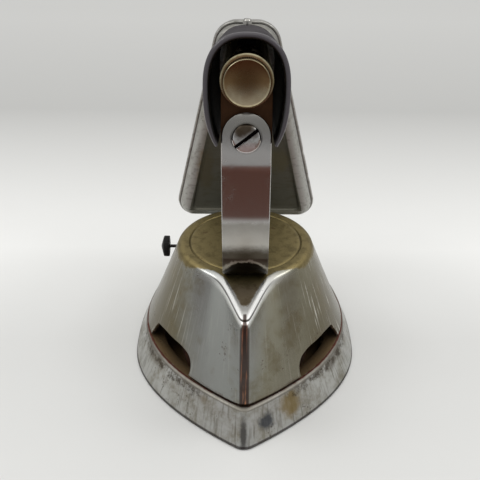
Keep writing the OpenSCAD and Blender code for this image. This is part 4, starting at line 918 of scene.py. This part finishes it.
def cowl_finish():
    """Tarnished nickel: cool grey front faces, browner sides with upright rubs lightened as wear and as painted
    highlight streaks, a painted highlight on the front shoulder by the beak, an olive-brown flat top that fades into
    the shoulder, rust along the lower edge and a sooty inside."""
    material, tree, shader, place = blank("cowl_plating")
    clouds = effect(tree, "blotches", place, Scale=48.0, Low=0.5, High=0.68)
    fine = effect(tree, "blotches", place, Scale=260.0, Low=0.44, High=0.66)
    rubs = effect(tree, "streaks", around_hub(tree, place), Stretch=(900.0, 900.0, 40.0), Low=0.57, High=0.7)
    part = lay(tree, "ShaderNodeSeparateXYZ", {"Vector": place}).outputs
    side = ramp_of(tree, math_of(tree, "ADD", math_of(tree, "ABSOLUTE", part["X"]), math_of(
        tree, "MULTIPLY", clouds["Cloud"], 0.014)), 0.024, 0.042)
    lengthened = math_of(tree, "ADD", part["X"], math_of(tree, "MULTIPLY", clouds["Cloud"], 0.01))
    face = mix_of(tree, ramp_of(tree, lengthened, 0.004, 0.016), rgb(144, 146, 143), rgb(132, 129, 114))
    colour = mix_of(tree, side, face, rgb(107, 101, 84))
    colour = mix_of(tree, math_of(tree, "MULTIPLY", clouds["Mask"], 0.6), colour, rgb(110, 101, 78))
    browned = math_of(tree, "MAXIMUM", spot_at(tree, place, 15, 20, 40, 7, 9, 20),
                      math_of(tree, "MULTIPLY", spot_at(tree, place, 24, 30, 40, 9, 12, 16), 0.7))
    browned = math_of(tree, "MAXIMUM", browned, math_of(tree, "MULTIPLY", spot_at(tree, place, -34, 34, 40, 7, 12, 14), 0.8))
    colour = mix_of(tree, math_of(tree, "MULTIPLY", browned, 0.8), colour, rgb(96, 84, 54))
    # Upright rub lines lightened: worn plating, with painted highlight streaks that are strongest on the right side.
    right = math_of(tree, "ADD", 0.35, math_of(tree, "MULTIPLY", ramp_of(tree, part["X"], -0.01, 0.01), 0.65))
    worn = math_of(tree, "MULTIPLY", rubs["Mask"], math_of(tree, "ADD", 0.12, math_of(tree, "MULTIPLY", side, right)))
    colour = mix_of(tree, worn, colour, rgb(214, 212, 204))
    # Painted highlight: the front shoulder near the beak turned near-white.
    edge = math_of(tree, "ADD", part["Z"], math_of(tree, "MULTIPLY", fine["Cloud"], 0.002))
    painted_shoulder_highlight = math_of(tree, "MULTIPLY", ramp_of(tree, edge, 0.0565, 0.0605), ramp_of(tree, math_of(
        tree, "MULTIPLY", part["Y"], -1.0), 0.036, 0.056))
    colour = mix_of(tree, painted_shoulder_highlight, colour, rgb(248, 248, 245))
    coppery = mix_of(tree, ramp_of(tree, rubs["Line"], 0.52, 0.66), rgb(62, 48, 44), rgb(150, 100, 76))
    worn_foot = math_of(tree, "MULTIPLY", spot_at(tree, place, 0, 9.5, 19, 4, 5, 5), ramp_of(
        tree, rubs["Line"], 0.5, 0.6))
    coppery = mix_of(tree, math_of(tree, "MULTIPLY", worn_foot, 0.7), coppery, rgb(206, 140, 100))
    colour = mix_of(tree, math_of(tree, "MULTIPLY", marked(tree, "ridge"), 0.9), colour, coppery)
    top = ramp_of(tree, math_of(tree, "ADD", marked(tree, "flat_top"), math_of(
        tree, "MULTIPLY", math_of(tree, "SUBTRACT", fine["Cloud"], 0.5), 1.2)), 0.4, 0.8)
    olive = mix_of(tree, fine["Mask"], rgb(130, 117, 80), rgb(104, 93, 62))
    olive = mix_of(tree, ramp_of(tree, math_of(tree, "MULTIPLY", part["Y"], -1.0), 0.046, 0.056), olive,
                   mix_of(tree, fine["Mask"], rgb(128, 116, 96), rgb(110, 98, 78)))
    colour = mix_of(tree, top, colour, olive)
    around = lay(tree, "ShaderNodeVectorMath", {0: place, 1: (0.0, along(HUB) * MM, COWL_TOP * MM)}, operation="DISTANCE")
    groove = math_of(tree, "ABSOLUTE", math_of(tree, "SUBTRACT", around.outputs["Value"], 0.0254))
    groove = math_of(tree, "MULTIPLY", math_of(tree, "SUBTRACT", 1.0, ramp_of(tree, groove, 0.0002, 0.0006)), top)
    colour = mix_of(tree, math_of(tree, "MULTIPLY", groove, 0.5), colour, rgb(84, 75, 50))
    rust = math_of(tree, "SUBTRACT", 1.0, ramp_of(tree, math_of(tree, "ADD", part["Z"], math_of(
        tree, "MULTIPLY", fine["Cloud"], 0.004)), 0.0173, 0.0192))
    holes = effect(tree, "pits", place, Scale=480.0, Amount=0.46)
    dirt = math_of(tree, "MAXIMUM", math_of(tree, "MULTIPLY", holes["Mask"], 0.5), math_of(tree, "MULTIPLY", rust, 0.7))
    colour = mix_of(tree, dirt, colour, rgb(72, 50, 38))
    soot = marked(tree, "inside")
    colour = mix_of(tree, soot, colour, mix_of(tree, fine["Mask"], rgb(26, 20, 16), rgb(52, 34, 22)))
    tree.links.new(colour, shader.inputs["Base Color"])
    rough = math_of(tree, "ADD", math_of(tree, "MULTIPLY", top, 0.5), math_of(tree, "MULTIPLY", clouds["Cloud"], 0.4))
    rough = math_of(tree, "ADD", rough, math_of(tree, "MULTIPLY", dirt, 0.5))
    rough = math_of(tree, "ADD", rough, math_of(tree, "MULTIPLY", browned, 0.25))
    rough = math_of(tree, "ADD", rough, math_of(tree, "MULTIPLY", painted_shoulder_highlight, 0.4))
    rough = math_of(tree, "ADD", rough, soot)
    spread = lay(tree, "ShaderNodeMapRange", {"Value": rough, "To Min": 0.16, "To Max": 0.6})
    tree.links.new(spread.outputs["Result"], shader.inputs["Roughness"])
    shader.inputs["Metallic"].default_value = 1.0
    height = math_of(tree, "ADD", math_of(tree, "MULTIPLY", holes["Height"], 0.25),
                     math_of(tree, "MULTIPLY", rubs["Line"], 0.25))
    height = math_of(tree, "ADD", height, math_of(tree, "MULTIPLY", fine["Cloud"], 0.3))
    set_bump(tree, shader, height, 0.00018)
    return material


def cap_finish():
    """Worn nickel over brass on a turned knob: bronze in the dish, painted darker towards the top and lighter towards
    the bottom as a painted reflection, and fine rings round the axis.
    """
    material, tree, shader, place = blank("cap_nickel")
    mapped = lay(tree, "ShaderNodeMapping", {"Vector": place, "Location": (0, 0, 0)}, vector_type="POINT")
    axis = (0.0, -math.cos(SLOPE), math.sin(SLOPE))
    centre = (0.0, along(SADDLE_AT) * MM, SADDLE_Z * MM)
    off = lay(tree, "ShaderNodeVectorMath", {0: mapped.outputs[0], 1: centre}, operation="SUBTRACT").outputs[0]
    lift = lay(tree, "ShaderNodeVectorMath", {0: off, 1: axis}, operation="DOT_PRODUCT").outputs["Value"]
    cross = lay(tree, "ShaderNodeVectorMath", {0: off, 1: axis}, operation="CROSS_PRODUCT").outputs[0]
    radius = lay(tree, "ShaderNodeVectorMath", {0: cross}, operation="LENGTH").outputs["Value"]
    ringed = lay(tree, "ShaderNodeTexNoise", {"W": math_of(tree, "MULTIPLY", radius, 3600.0), "Scale": 1.0, "Detail": 2.0},
                 noise_dimensions="1D")
    clouds = effect(tree, "blotches", place, Scale=120.0, Low=0.4, High=0.68)
    dish = math_of(tree, "SUBTRACT", 1.0, ramp_of(tree, radius, 0.0081, 0.0085))
    colour = mix_of(tree, clouds["Mask"], rgb(168, 160, 132), rgb(128, 116, 86))
    # Painted reflection: the dish's bronze lighter towards its bottom and darker towards its top.
    raised = lay(tree, "ShaderNodeVectorMath", {0: off, 1: (0.0, math.sin(SLOPE), math.cos(SLOPE))},
                 operation="DOT_PRODUCT").outputs["Value"]
    upper = ramp_of(tree, math_of(tree, "ADD", raised, math_of(tree, "MULTIPLY", clouds["Cloud"], 0.004)),
                    -0.0035, 0.003)
    bronze = mix_of(tree, upper, rgb(156, 145, 122), rgb(128, 104, 72))
    bronze = mix_of(tree, math_of(tree, "MULTIPLY", clouds["Mask"], 0.4), bronze, rgb(100, 78, 54))
    colour = mix_of(tree, dish, colour, bronze)
    neck = math_of(tree, "SUBTRACT", ramp_of(tree, lift, 0.0042, 0.0046), ramp_of(tree, lift, 0.0118, 0.0127))
    neck = math_of(tree, "MULTIPLY", neck, math_of(tree, "SUBTRACT", 1.0, ramp_of(tree, radius, 0.0094, 0.0099)))
    colour = mix_of(tree, math_of(tree, "MULTIPLY", neck, 0.85), colour, rgb(84, 58, 36))
    tree.links.new(colour, shader.inputs["Base Color"])
    spread = lay(tree, "ShaderNodeMapRange", {"Value": clouds["Cloud"], "From Min": 0.3, "From Max": 0.7, "To Min": 0.2,
                                              "To Max": 0.4})
    tree.links.new(spread.outputs["Result"], shader.inputs["Roughness"])
    shader.inputs["Metallic"].default_value = 1.0
    height = math_of(tree, "ADD", ringed.outputs["Fac"], math_of(tree, "MULTIPLY", clouds["Cloud"], 0.8))
    set_bump(tree, shader, height, 0.00003, 0.35)
    return material


FINISHES = {
    "sole_plating": sole_finish(),
    "cowl_plating": cowl_finish(),
    "cap_nickel": cap_finish(),
    "lug_dark": worn_metal("lug_dark", rgb(36, 33, 32), rgb(52, 42, 34), rgb(18, 15, 13), gloss=(0.5, 0.8),
                           cloud=(180, 0.42, 0.64), pits=(1500, 0.5, 0.6), metallic=0.4),
    "burner_iron": worn_metal("burner_iron", rgb(64, 48, 38), rgb(88, 52, 32), rgb(20, 15, 12), gloss=(0.6, 0.95),
                              cloud=(140, 0.4, 0.62), pits=(1100, 0.65, 0.8), metallic=0.35, bump=0.0004),
    "screw_steel": worn_metal("screw_steel", rgb(172, 170, 164), rgb(128, 112, 92), rgb(54, 42, 32), gloss=(0.25, 0.55),
                              cloud=(230, 0.42, 0.64), pits=(1500, 0.5, 0.6), rubs=((400, 400, 2500), 0.12)),
    "valve_brass": worn_metal("valve_brass", rgb(196, 164, 104), rgb(138, 106, 66), rgb(52, 44, 30), gloss=(0.28, 0.55),
                              cloud=(160, 0.4, 0.64), pits=(1300, 0.45, 0.6)),
    "knob_black": moulding("knob_black", rgb(24, 22, 21), rgb(18, 17, 16), rgb(56, 50, 44), (0.4, 0.6), shine=0.2),
    "shield_steel": worn_metal("shield_steel", rgb(136, 122, 108), rgb(92, 78, 78), rgb(48, 36, 28), gloss=(0.35, 0.65),
                               cloud=(60, 0.4, 0.6)),
    "pad_board": moulding("pad_board", rgb(196, 190, 176), rgb(164, 152, 130), rgb(120, 108, 90), (0.85, 0.98),
                          grain=2600, bump=0.0002),
    # Strap: reflections and shade painted by height through its touch, and a dark ring round the screw.
    "strap_plating": worn_metal("strap_plating", rgb(176, 175, 173), rgb(150, 146, 140), rgb(60, 50, 44),
                                gloss=(0.2, 0.5), cloud=(60, 0.5, 0.75), pits=(900, 0.38, 0.7),
                                rubs=((2200, 120, 120), 0.06), bump=0.00005,
                                rings=[((0.0, (along(SADDLE_AT) - 22 * math.sin(SLOPE)) * MM,
                                         (SADDLE_Z - 22 * math.cos(SLOPE)) * MM),
                                        (0.0, -math.cos(SLOPE), math.sin(SLOPE)), 0.0059, 0.0006, rgb(40, 36, 34), 0.85)],
                                touch=paint_strap_reflections_and_shade),
    "screw_plating": worn_metal("screw_plating", rgb(206, 206, 204), rgb(168, 162, 150), rgb(40, 32, 26),
                                gloss=(0.16, 0.4), cloud=(150, 0.46, 0.66), pits=(1400, 0.5, 0.75),
                                rubs=((900, 900, 2200), 0.1), bump=0.00008,
                                # Darker towards the top of the dome; the dome's lower half is painted near-white as a
                                # painted reflection.
                                stains_and_painted_light=[((-0.5, 33.5, 135.0, 7.0, 5, 5.6), rgb(66, 54, 38), 0.95),
                                        ((0.8, 33.5, 125.4, 8.0, 5, 5.0), rgb(240, 240, 240), 1.0)],
                                # "sunk": the screw's slot painted near-black as shade.
                                marks=[("sunk", rgb(14, 11, 10), 1.0, 0.0)]),
    "saddle_brown": moulding("saddle_brown", rgb(68, 40, 15), rgb(46, 27, 10), rgb(84, 62, 32), (0.6, 0.8), shine=0.2),
    # grip_dark: its inside colour, near-black, is painted shade.
    "grip_dark": moulding("grip_dark", rgb(46, 42, 45), rgb(38, 32, 36), rgb(70, 62, 68), (0.52, 0.66), grain=1500,
                          bump=0.00002, shine=0.08, inside=rgb(2, 2, 2)),
    "barrel_brass": worn_metal("barrel_brass", rgb(204, 176, 118), rgb(150, 120, 78), rgb(60, 48, 32), gloss=(0.22, 0.45),
                               cloud=(110, 0.44, 0.66), rubs=((1800, 90, 1800), 0.14)),
    "cup_leather": moulding("cup_leather", rgb(104, 70, 44), rgb(70, 44, 28), rgb(40, 26, 18), (0.55, 0.8), grain=1800,
                            bump=0.0003),
    "tank_plating": worn_metal("tank_plating", rgb(176, 175, 170), rgb(150, 147, 136), rgb(58, 52, 40),
                               gloss=(0.42, 0.62), cloud=(46, 0.46, 0.72), pits=(900, 0.44, 0.5),
                               strokes=((160.0, 700.0, 700.0), 0.5, 0.66, rgb(128, 126, 118), 0.5),
                               rubs=((60, 900, 900), 0.12), bump=0.00014,
                               stains_and_painted_light=[((0, 112, 143, 40, 30, 14), rgb(104, 102, 96), 0.8),
                                       # Painted highlights: two soft light spots low on the front panel, one on each
                                       # side.
                                       ((16, 118, 77, 6, 12, 8), rgb(178, 164, 116), 0.7),
                                       ((-20, 118, 72, 5, 12, 14), rgb(150, 126, 80), 0.6),
                                       ((-35.5, 116, 50, 2.2, 5, 2.2), rgb(30, 28, 26), 0.9)],
                               marks=[("panel", rgb(90, 88, 74), 0.85, 0.3)]),
    "gasket_dark": moulding("gasket_dark", rgb(52, 48, 46), rgb(40, 36, 34), rgb(84, 76, 68), (0.6, 0.85)),
}


# ---------------------------------------------------------------- the main pieces
def make_soleplate():
    bosses = [skin(boss_rows() + [0, along(d), 0], ring=True) for d in STUDS]
    piece = link("sole_casting", mesh_of("sole_casting", [skin(soleplate_rows())] + bosses))
    points = measured(piece.data)
    radius, turn = from_hub(points)
    foot = at_turn(foot_radii(0), turn)
    mark(piece, "bare", np.clip((foot - radius) / 0.4, 0, 1) * (points[:, 2] > 3))
    behind = points[:, 1] - along(0)
    beside = np.clip((behind - 24) / 8, 0, 1) * np.clip((86 - behind) / 20, 0, 1)
    edge = np.exp(-((radius - foot - 0.2) / 0.5) ** 2) * (points[:, 2] > 14.4)
    mark(piece, "rim", edge * (0.75 + 0.25 * beside))
    mark(piece, "crest", np.clip((radius - foot) / 0.3, 0, 1) * np.clip((points[:, 2] - 13.9) / 0.4, 0, 1))
    edge_wear = np.clip((radius - foot) / 0.3, 0, 1) * np.clip((points[:, 2] - 8) / 4, 0, 1)
    mark(piece, "worn", 0.5 * edge_wear * np.clip((behind - 14) / 8, 0, 1) * np.clip((74 - behind) / 12, 0, 1))
    # Dirt and a painted contact shadow: the lowest 1.9 mm of the side, darkened by the finish.
    mark(piece, "low", np.clip((1.9 - points[:, 2]) / 0.8, 0, 1) * (points[:, 2] > 0.05))
    finish_piece(piece, FINISHES["sole_plating"], "iron", ["soleplate"])


def make_cowl():
    piece = link("cowl_shell", mesh_of("cowl_shell", [skin(hand_worked(cowl_rows(), 0.35, 46, 3))]))
    cut(piece, *cowl_openings())
    points = measured(piece.data)
    radius, turn = from_hub(points)
    beside = np.clip((turn - 28) / 30, 0, 1)
    flat_edge = at_turn(top_radii(SHOULDER_R), turn) + 4.4 * beside
    lean = (0.32 + 0.68 * np.clip((turn - 6) / 34, 0, 1)) * (1 - 0.72 * beside)
    height = np.clip((points[:, 2] - (COWL_TOP - 2.2 - 6 * beside)) / (0.2 + 6 * beside), 0, 1)
    mark(piece, "flat_top", np.clip(0.5 + (flat_edge - radius) * lean / 1.2, 0, 1) * height)
    narrow = 2.1 - 1.2 * np.clip((points[:, 2] - (COWL_TOP - 5)) / 3.5, 0, 1)
    mark(piece, "ridge", np.clip((narrow - turn) / 0.4, 0, 1) * (radius > 40) * (points[:, 2] < COWL_TOP - 0.2))
    high = COWL_TOP - SHOULDER_R * (1 - math.sin(math.radians(18)))
    level = np.clip((points[:, 2] - COWL_LOW) / (high - COWL_LOW), 0, 1)
    power = 1 + 0.5 * np.sin(np.radians(np.clip(turn - 90, 0, 90))) ** 2
    crown, base = at_turn(top_radii(0), turn), at_turn(foot_radii(0), turn)
    wall = crown + (base - crown) * (1 - level) ** power
    mark(piece, "inside", np.clip(np.maximum((wall - 0.7 - radius) / 0.3, 0) * ((COWL_TOP - 0.9 - points[:, 2]) / 0.2),
                                  0, 1))
    finish_piece(piece, FINISHES["cowl_plating"], "iron", ["cowl"], sharp=42)


def make_handle():
    piece = handle_shell()
    local = from_tipped(measured(piece.data), SADDLE_AT, SADDLE_Z, math.pi / 2 - SLOPE)
    size = 0.92 + 0.08 * np.clip((local[:, 2] + 83) / 91, 0, 1)
    x, y = np.abs(local[:, 0] / size), local[:, 1] / size + 2
    reach = np.where(y > 0, 20 - 1.5, 28.5)
    depth = (x / (16.5 - 1.5)) ** 2.4 + (np.abs(y) / reach) ** 2.4
    # The grip's hollow, painted near-black as shade by its finish.
    mark(piece, "inside", np.clip((1.0 - depth) / 0.06, 0, 1))
    # The mouth's lip, lightened by the finish as a painted highlight.
    mark(piece, "lip", np.clip((local[:, 2] - 6.3) / 0.7, 0, 1))
    finish_piece(piece, FINISHES["grip_dark"], "iron", ["handle_shell"], sharp=50)


def make_strap():
    piece = link("strap_bent", mesh_of("strap_bent", [skin(strap_rows(), flip=True)]))
    screw_place = lambda rows: on_handle(rows + np.array([0, -22.0, 0]))
    cut(piece, prism("cut_stud", disc(2.65), 58, 66, lambda rows: rows + np.array([0, along(STUDS[0]), 0])),
        prism("cut_screw", disc(2.33), -6, 8, screw_place))
    finish_piece(piece, FINISHES["strap_plating"], "iron", ["front_strap"])


def make_strap_screw():
    place = lambda rows: on_handle(rows + np.array([0, -22.0, STRAP_T + 0.05]))
    piece = link("strap_screw_head", mesh_of("strap_screw_head", [skin(place(screw_rows(5.7, 2.6, 2.25, 13.6)))]))
    cut(piece, slot_cutter("cut_slot", 16, 1.5, 1.0, math.radians(38), place))
    local = from_tipped(measured(piece.data), SADDLE_AT, SADDLE_Z, math.pi / 2 - SLOPE) - [0, -22.0, STRAP_T + 0.05]
    radius = np.hypot(local[:, 0], local[:, 1])
    across = np.abs(local[:, 1] * math.cos(math.radians(38)) - local[:, 0] * math.sin(math.radians(38)))
    # The slot's floor and walls, painted near-black as shade by the finish.
    mark(piece, "sunk", (across < 0.78) & (local[:, 2] < dome_height(radius, 5.7, 2.6) - 0.05) & (local[:, 2] > 0.5))
    finish_piece(piece, FINISHES["screw_plating"], "iron", ["strap_screw"])


def make_grip_screw():
    """Small domed screw on the grip's crown, close to the tank."""
    axis_at, top = tank_face(0.0, 0.3) + 8, 16.9
    place = lambda rows: on_handle(np.stack([rows[..., 0], rows[..., 2] + top, axis_at - rows[..., 1]], axis=-1))
    piece = link("grip_screw", mesh_of("grip_screw", [skin(place(screw_rows(2.1, 2.8, 1.5, 7.7)))]))
    cut(piece, slot_cutter("cut_grip_slot", 8, 0.8, 1.9, math.radians(20), place))
    finish_piece(piece, FINISHES["strap_plating"], "iron", ["handle_rear_screw"])


def make_valve_knob():
    """Flat knob with a milled edge and a slightly coned outer face, turned about the cross axis."""
    profile = [(0, 0), (2, 0), (4.7, 0), (5.1, 0.12), (5.2, 0.4), (5.2, 1.4), (5.2, 2.4), (5.12, 2.65), (4.85, 2.85),
               (3.3, 3.35), (1.4, 3.85), (0.7, 4.05), (0, 4.1)]

    def milled(angle, at):
        groove = np.clip(np.cos(angle * 36) * 1.6, -1, 0.2)
        return 0.16 * np.clip((at[:, 0] - 4.6) / 0.5, 0, 1)[:, None] * (groove[None, :] - 0.2)

    rows = circle_rows(profile, 288, milled)
    placed = np.stack([-38.1 - rows[..., 2], along(104.0) + rows[..., 1], 36.8 + rows[..., 0]], axis=-1)
    piece = link("valve_handwheel", mesh_of("valve_handwheel", [skin(placed)]))
    finish_piece(piece, FINISHES["knob_black"], "valve", ["valve_knob"])


def make_knob():
    piece = link("pump_knob_turned", mesh_of("pump_knob_turned", knob_skins()))
    finish_piece(piece, FINISHES["cap_nickel"], "pump", ["pump_knob"])


def mark_panel(piece, rim):
    """Marks the sunk panel: the least distance to the tank's four sides, less the rim's width."""
    local = from_tipped(measured(piece.data), TANK_AT, TANK_REF, math.pi / 2 - LEAN) + [0, TANK_REF, 0]
    half = TANK_W_LOW / 2 - (local[:, 1] - TANK_LOW) * math.tan(TILT)
    inset = np.minimum((half - np.abs(local[:, 0])) * math.cos(TILT),
                       np.minimum(local[:, 1] - TANK_LOW + PANEL_DROP, TANK_HIGH - local[:, 1]))
    mark(piece, "panel", np.clip((inset - rim + 0.5) / 0.5, 0, 1))


def make_tank():
    front = link("tank_pan_front", mesh_of("tank_pan_front", [skin(pan_rows(8, 5.2, 1))]))
    cut(front, prism("cut_barrel", disc(7.6, 96), -110, -60, on_handle))
    mark_panel(front, PAN_INSET + 5.2 + 0.6)
    finish_piece(front, FINISHES["tank_plating"], "iron", ["tank_front"])
    rear = link("tank_pan_rear", mesh_of("tank_pan_rear", [skin(pan_rows(16, 8, -1))]))
    cut(rear, prism("cut_filler", disc(7.6, 64) + np.array([0, 110]), -30, -16, on_tank))
    mark_panel(rear, PAN_INSET + 8 + 0.6)
    finish_piece(rear, FINISHES["tank_plating"], "iron", ["tank_rear"])
    band = link("tank_seam", mesh_of("tank_seam", [skin(band_rows(), ring=True, flip=True)]))
    finish_piece(band, FINISHES["tank_plating"], "iron", ["tank_seam_band"])


def make_hardware(node, body, slot, soften=0.22):
    """Stands for a small CAD piece: its mesh merged, its flat faces joined, and its edges softened by a bevel."""
    mesh = nodes[node].data.copy()
    shape = bmesh.new()
    shape.from_mesh(mesh)
    bmesh.ops.remove_doubles(shape, verts=shape.verts, dist=2e-6)
    bmesh.ops.dissolve_limit(shape, angle_limit=math.radians(1), verts=shape.verts, edges=shape.edges)
    shape.to_mesh(mesh)
    shape.free()
    piece = link(node + "_eased", mesh)
    if soften:
        bevel = piece.modifiers.new("eased edges", "BEVEL")
        bevel.width = soften * MM
        bevel.segments = 2
        bevel.limit_method = "ANGLE"
        bevel.angle_limit = math.radians(40)
        bevel.use_clamp_overlap = True
    finish_piece(piece, FINISHES[slot], body, [node], sharp=40)


make_soleplate()
make_cowl()
make_handle()
make_strap()
make_strap_screw()
make_knob()
make_grip_screw()
make_valve_knob()
make_tank()

NODE_SLOTS = {part["node"]: part["material_slot"] for part in frame["record"]["subparts"]}
SHAPED = {"soleplate", "cowl", "handle_shell", "front_strap", "strap_screw", "pump_knob", "tank_front", "tank_rear",
          "tank_seam_band", "handle_rear_screw", "valve_knob"}
for node_name, node_slot in NODE_SLOTS.items():
    if node_name not in SHAPED:
        mesh = nodes[node_name].data
        mesh.materials.clear()
        # handle_lug, in the grip's dark hollow, takes lug_dark as painted shade; the valve stem takes the same dark
        # finish.
        mesh.materials.append(FINISHES["lug_dark" if node_name in ("handle_lug", "valve_stem") else node_slot])
for node_name, body, width in (("handle_saddle", "iron", 0.5), ("rear_bracket", "iron", 0.25), ("filler_cap", "cap", 0.3),
                               ("union_nut", "iron", 0.2), ("packing_nut", "iron", 0.2), ("clamp_nuts", "iron", 0.25),
                               ("spacer_sleeves", "iron", 0.2), ("burner_ring", "iron", 0.3), ("jet_block", "iron", 0.25),
                               ("filler_neck", "iron", 0.2), ("insulating_pad", "iron", 0.25), ("valve_body", "iron", 0.25)):
    make_hardware(node_name, body, NODE_SLOTS[node_name], width)


# ---------------------------------------------------------------- floor, world and lamps
def make_floor():
    """Pale paper floor. Its tone changes slowly from front to back as the photograph's does; in reflections the
    stretch in front of the iron is a red-brown table."""
    mesh = bpy.data.meshes.new("floor")
    mesh.from_pydata([(-4, -4, 0), (4, -4, 0), (4, 4, 0), (-4, 4, 0)], [], [(0, 1, 2, 3)])
    floor = link("floor", mesh)
    material, tree, shader, place = blank("floor_paper")
    back = lay(tree, "ShaderNodeSeparateXYZ", {"Vector": place}).outputs
    share = lay(tree, "ShaderNodeMapRange", {"Value": back["Y"], "From Min": along(-20) * MM, "From Max": along(620) * MM})
    tones = tree.nodes.new("ShaderNodeValToRGB")
    tree.links.new(share.outputs["Result"], tones.inputs["Fac"])
    # Painted light: these tones stand in for light that falls unevenly on the paper from front to back.
    stops = [(-20, 211), (75, 213), (160, 228), (356, 180), (567, 194)]
    while len(tones.color_ramp.elements) < len(stops):
        tones.color_ramp.elements.new(0.5)
    for stop, (d, tone) in zip(tones.color_ramp.elements, stops):
        stop.position = (d + 20) / 640
        stop.color = rgb(tone, tone, tone - 2)
    paper = effect(tree, "blotches", place, Scale=14.0, Low=0.3, High=0.8)
    colour = mix_of(tree, math_of(tree, "MULTIPLY", paper["Mask"], 0.06), tones.outputs["Color"], rgb(196, 194, 190))
    seen = lay(tree, "ShaderNodeLightPath").outputs["Is Glossy Ray"]
    ahead = math_of(tree, "SUBTRACT", 1.0, ramp_of(tree, back["Y"], -0.17, -0.125))
    table = mix_of(tree, math_of(tree, "MULTIPLY", seen, ahead), colour, (0.125, 0.054, 0.040, 1))
    tree.links.new(table, shader.inputs["Base Color"])
    shader.inputs["Roughness"].default_value = 0.9
    shader.inputs["Specular IOR Level"].default_value = 0.1
    mesh.materials.append(material)


def make_world():
    """Soft tent: brightest overhead, dimmer all round below, and dimmest in front where the camera stands."""
    world = bpy.data.worlds.new("tent")
    bpy.context.scene.world = world
    world.use_nodes = True
    tree = world.node_tree
    sky = tree.nodes["Background"]
    way = lay(tree, "ShaderNodeSeparateXYZ", {"Vector": tree.nodes.new("ShaderNodeTexCoord").outputs["Generated"]}).outputs
    up = ramp_of(tree, way["Z"], 0.42, 0.86)
    front = math_of(tree, "SUBTRACT", 1.0, ramp_of(tree, way["Y"], -0.98, -0.72))
    low = mix_of(tree, front, (0.62, 0.62, 0.62, 1), (0.36, 0.36, 0.36, 1))
    tone = mix_of(tree, up, low, (1.32, 1.32, 1.31, 1))
    seen = lay(tree, "ShaderNodeLightPath").outputs["Is Camera Ray"]
    tree.links.new(mix_of(tree, seen, tone, (0.6, 0.6, 0.595, 1)), sky.inputs["Color"])


def soft_lamp(name, x, d, z, size, watts, aim=(0, 60, 60)):
    """Square soft box at a place, facing a point of the iron."""
    data = bpy.data.lights.new(name, "AREA")
    data.size = size
    data.energy = watts
    lamp = bpy.data.objects.new(name, data)
    bpy.context.scene.collection.objects.link(lamp)
    here = np.array([x, along(d), z]) * MM
    there = np.array([aim[0], along(aim[1]), aim[2]]) * MM
    z_axis = (here - there) / np.linalg.norm(here - there)
    x_axis = np.cross([0, 0, 1], z_axis)
    x_axis /= np.linalg.norm(x_axis)
    turn = Matrix(np.column_stack([x_axis, np.cross(z_axis, x_axis), z_axis]).tolist()).to_4x4()
    lamp.matrix_world = Matrix.Translation(here.tolist()) @ turn


make_floor()
make_world()
soft_lamp("lamp_left", -520, 60, 700, 0.30, 1.0)
soft_lamp("lamp_right", 520, 60, 700, 0.30, 1.0)

bpy.context.scene.view_settings.view_transform = "Standard"
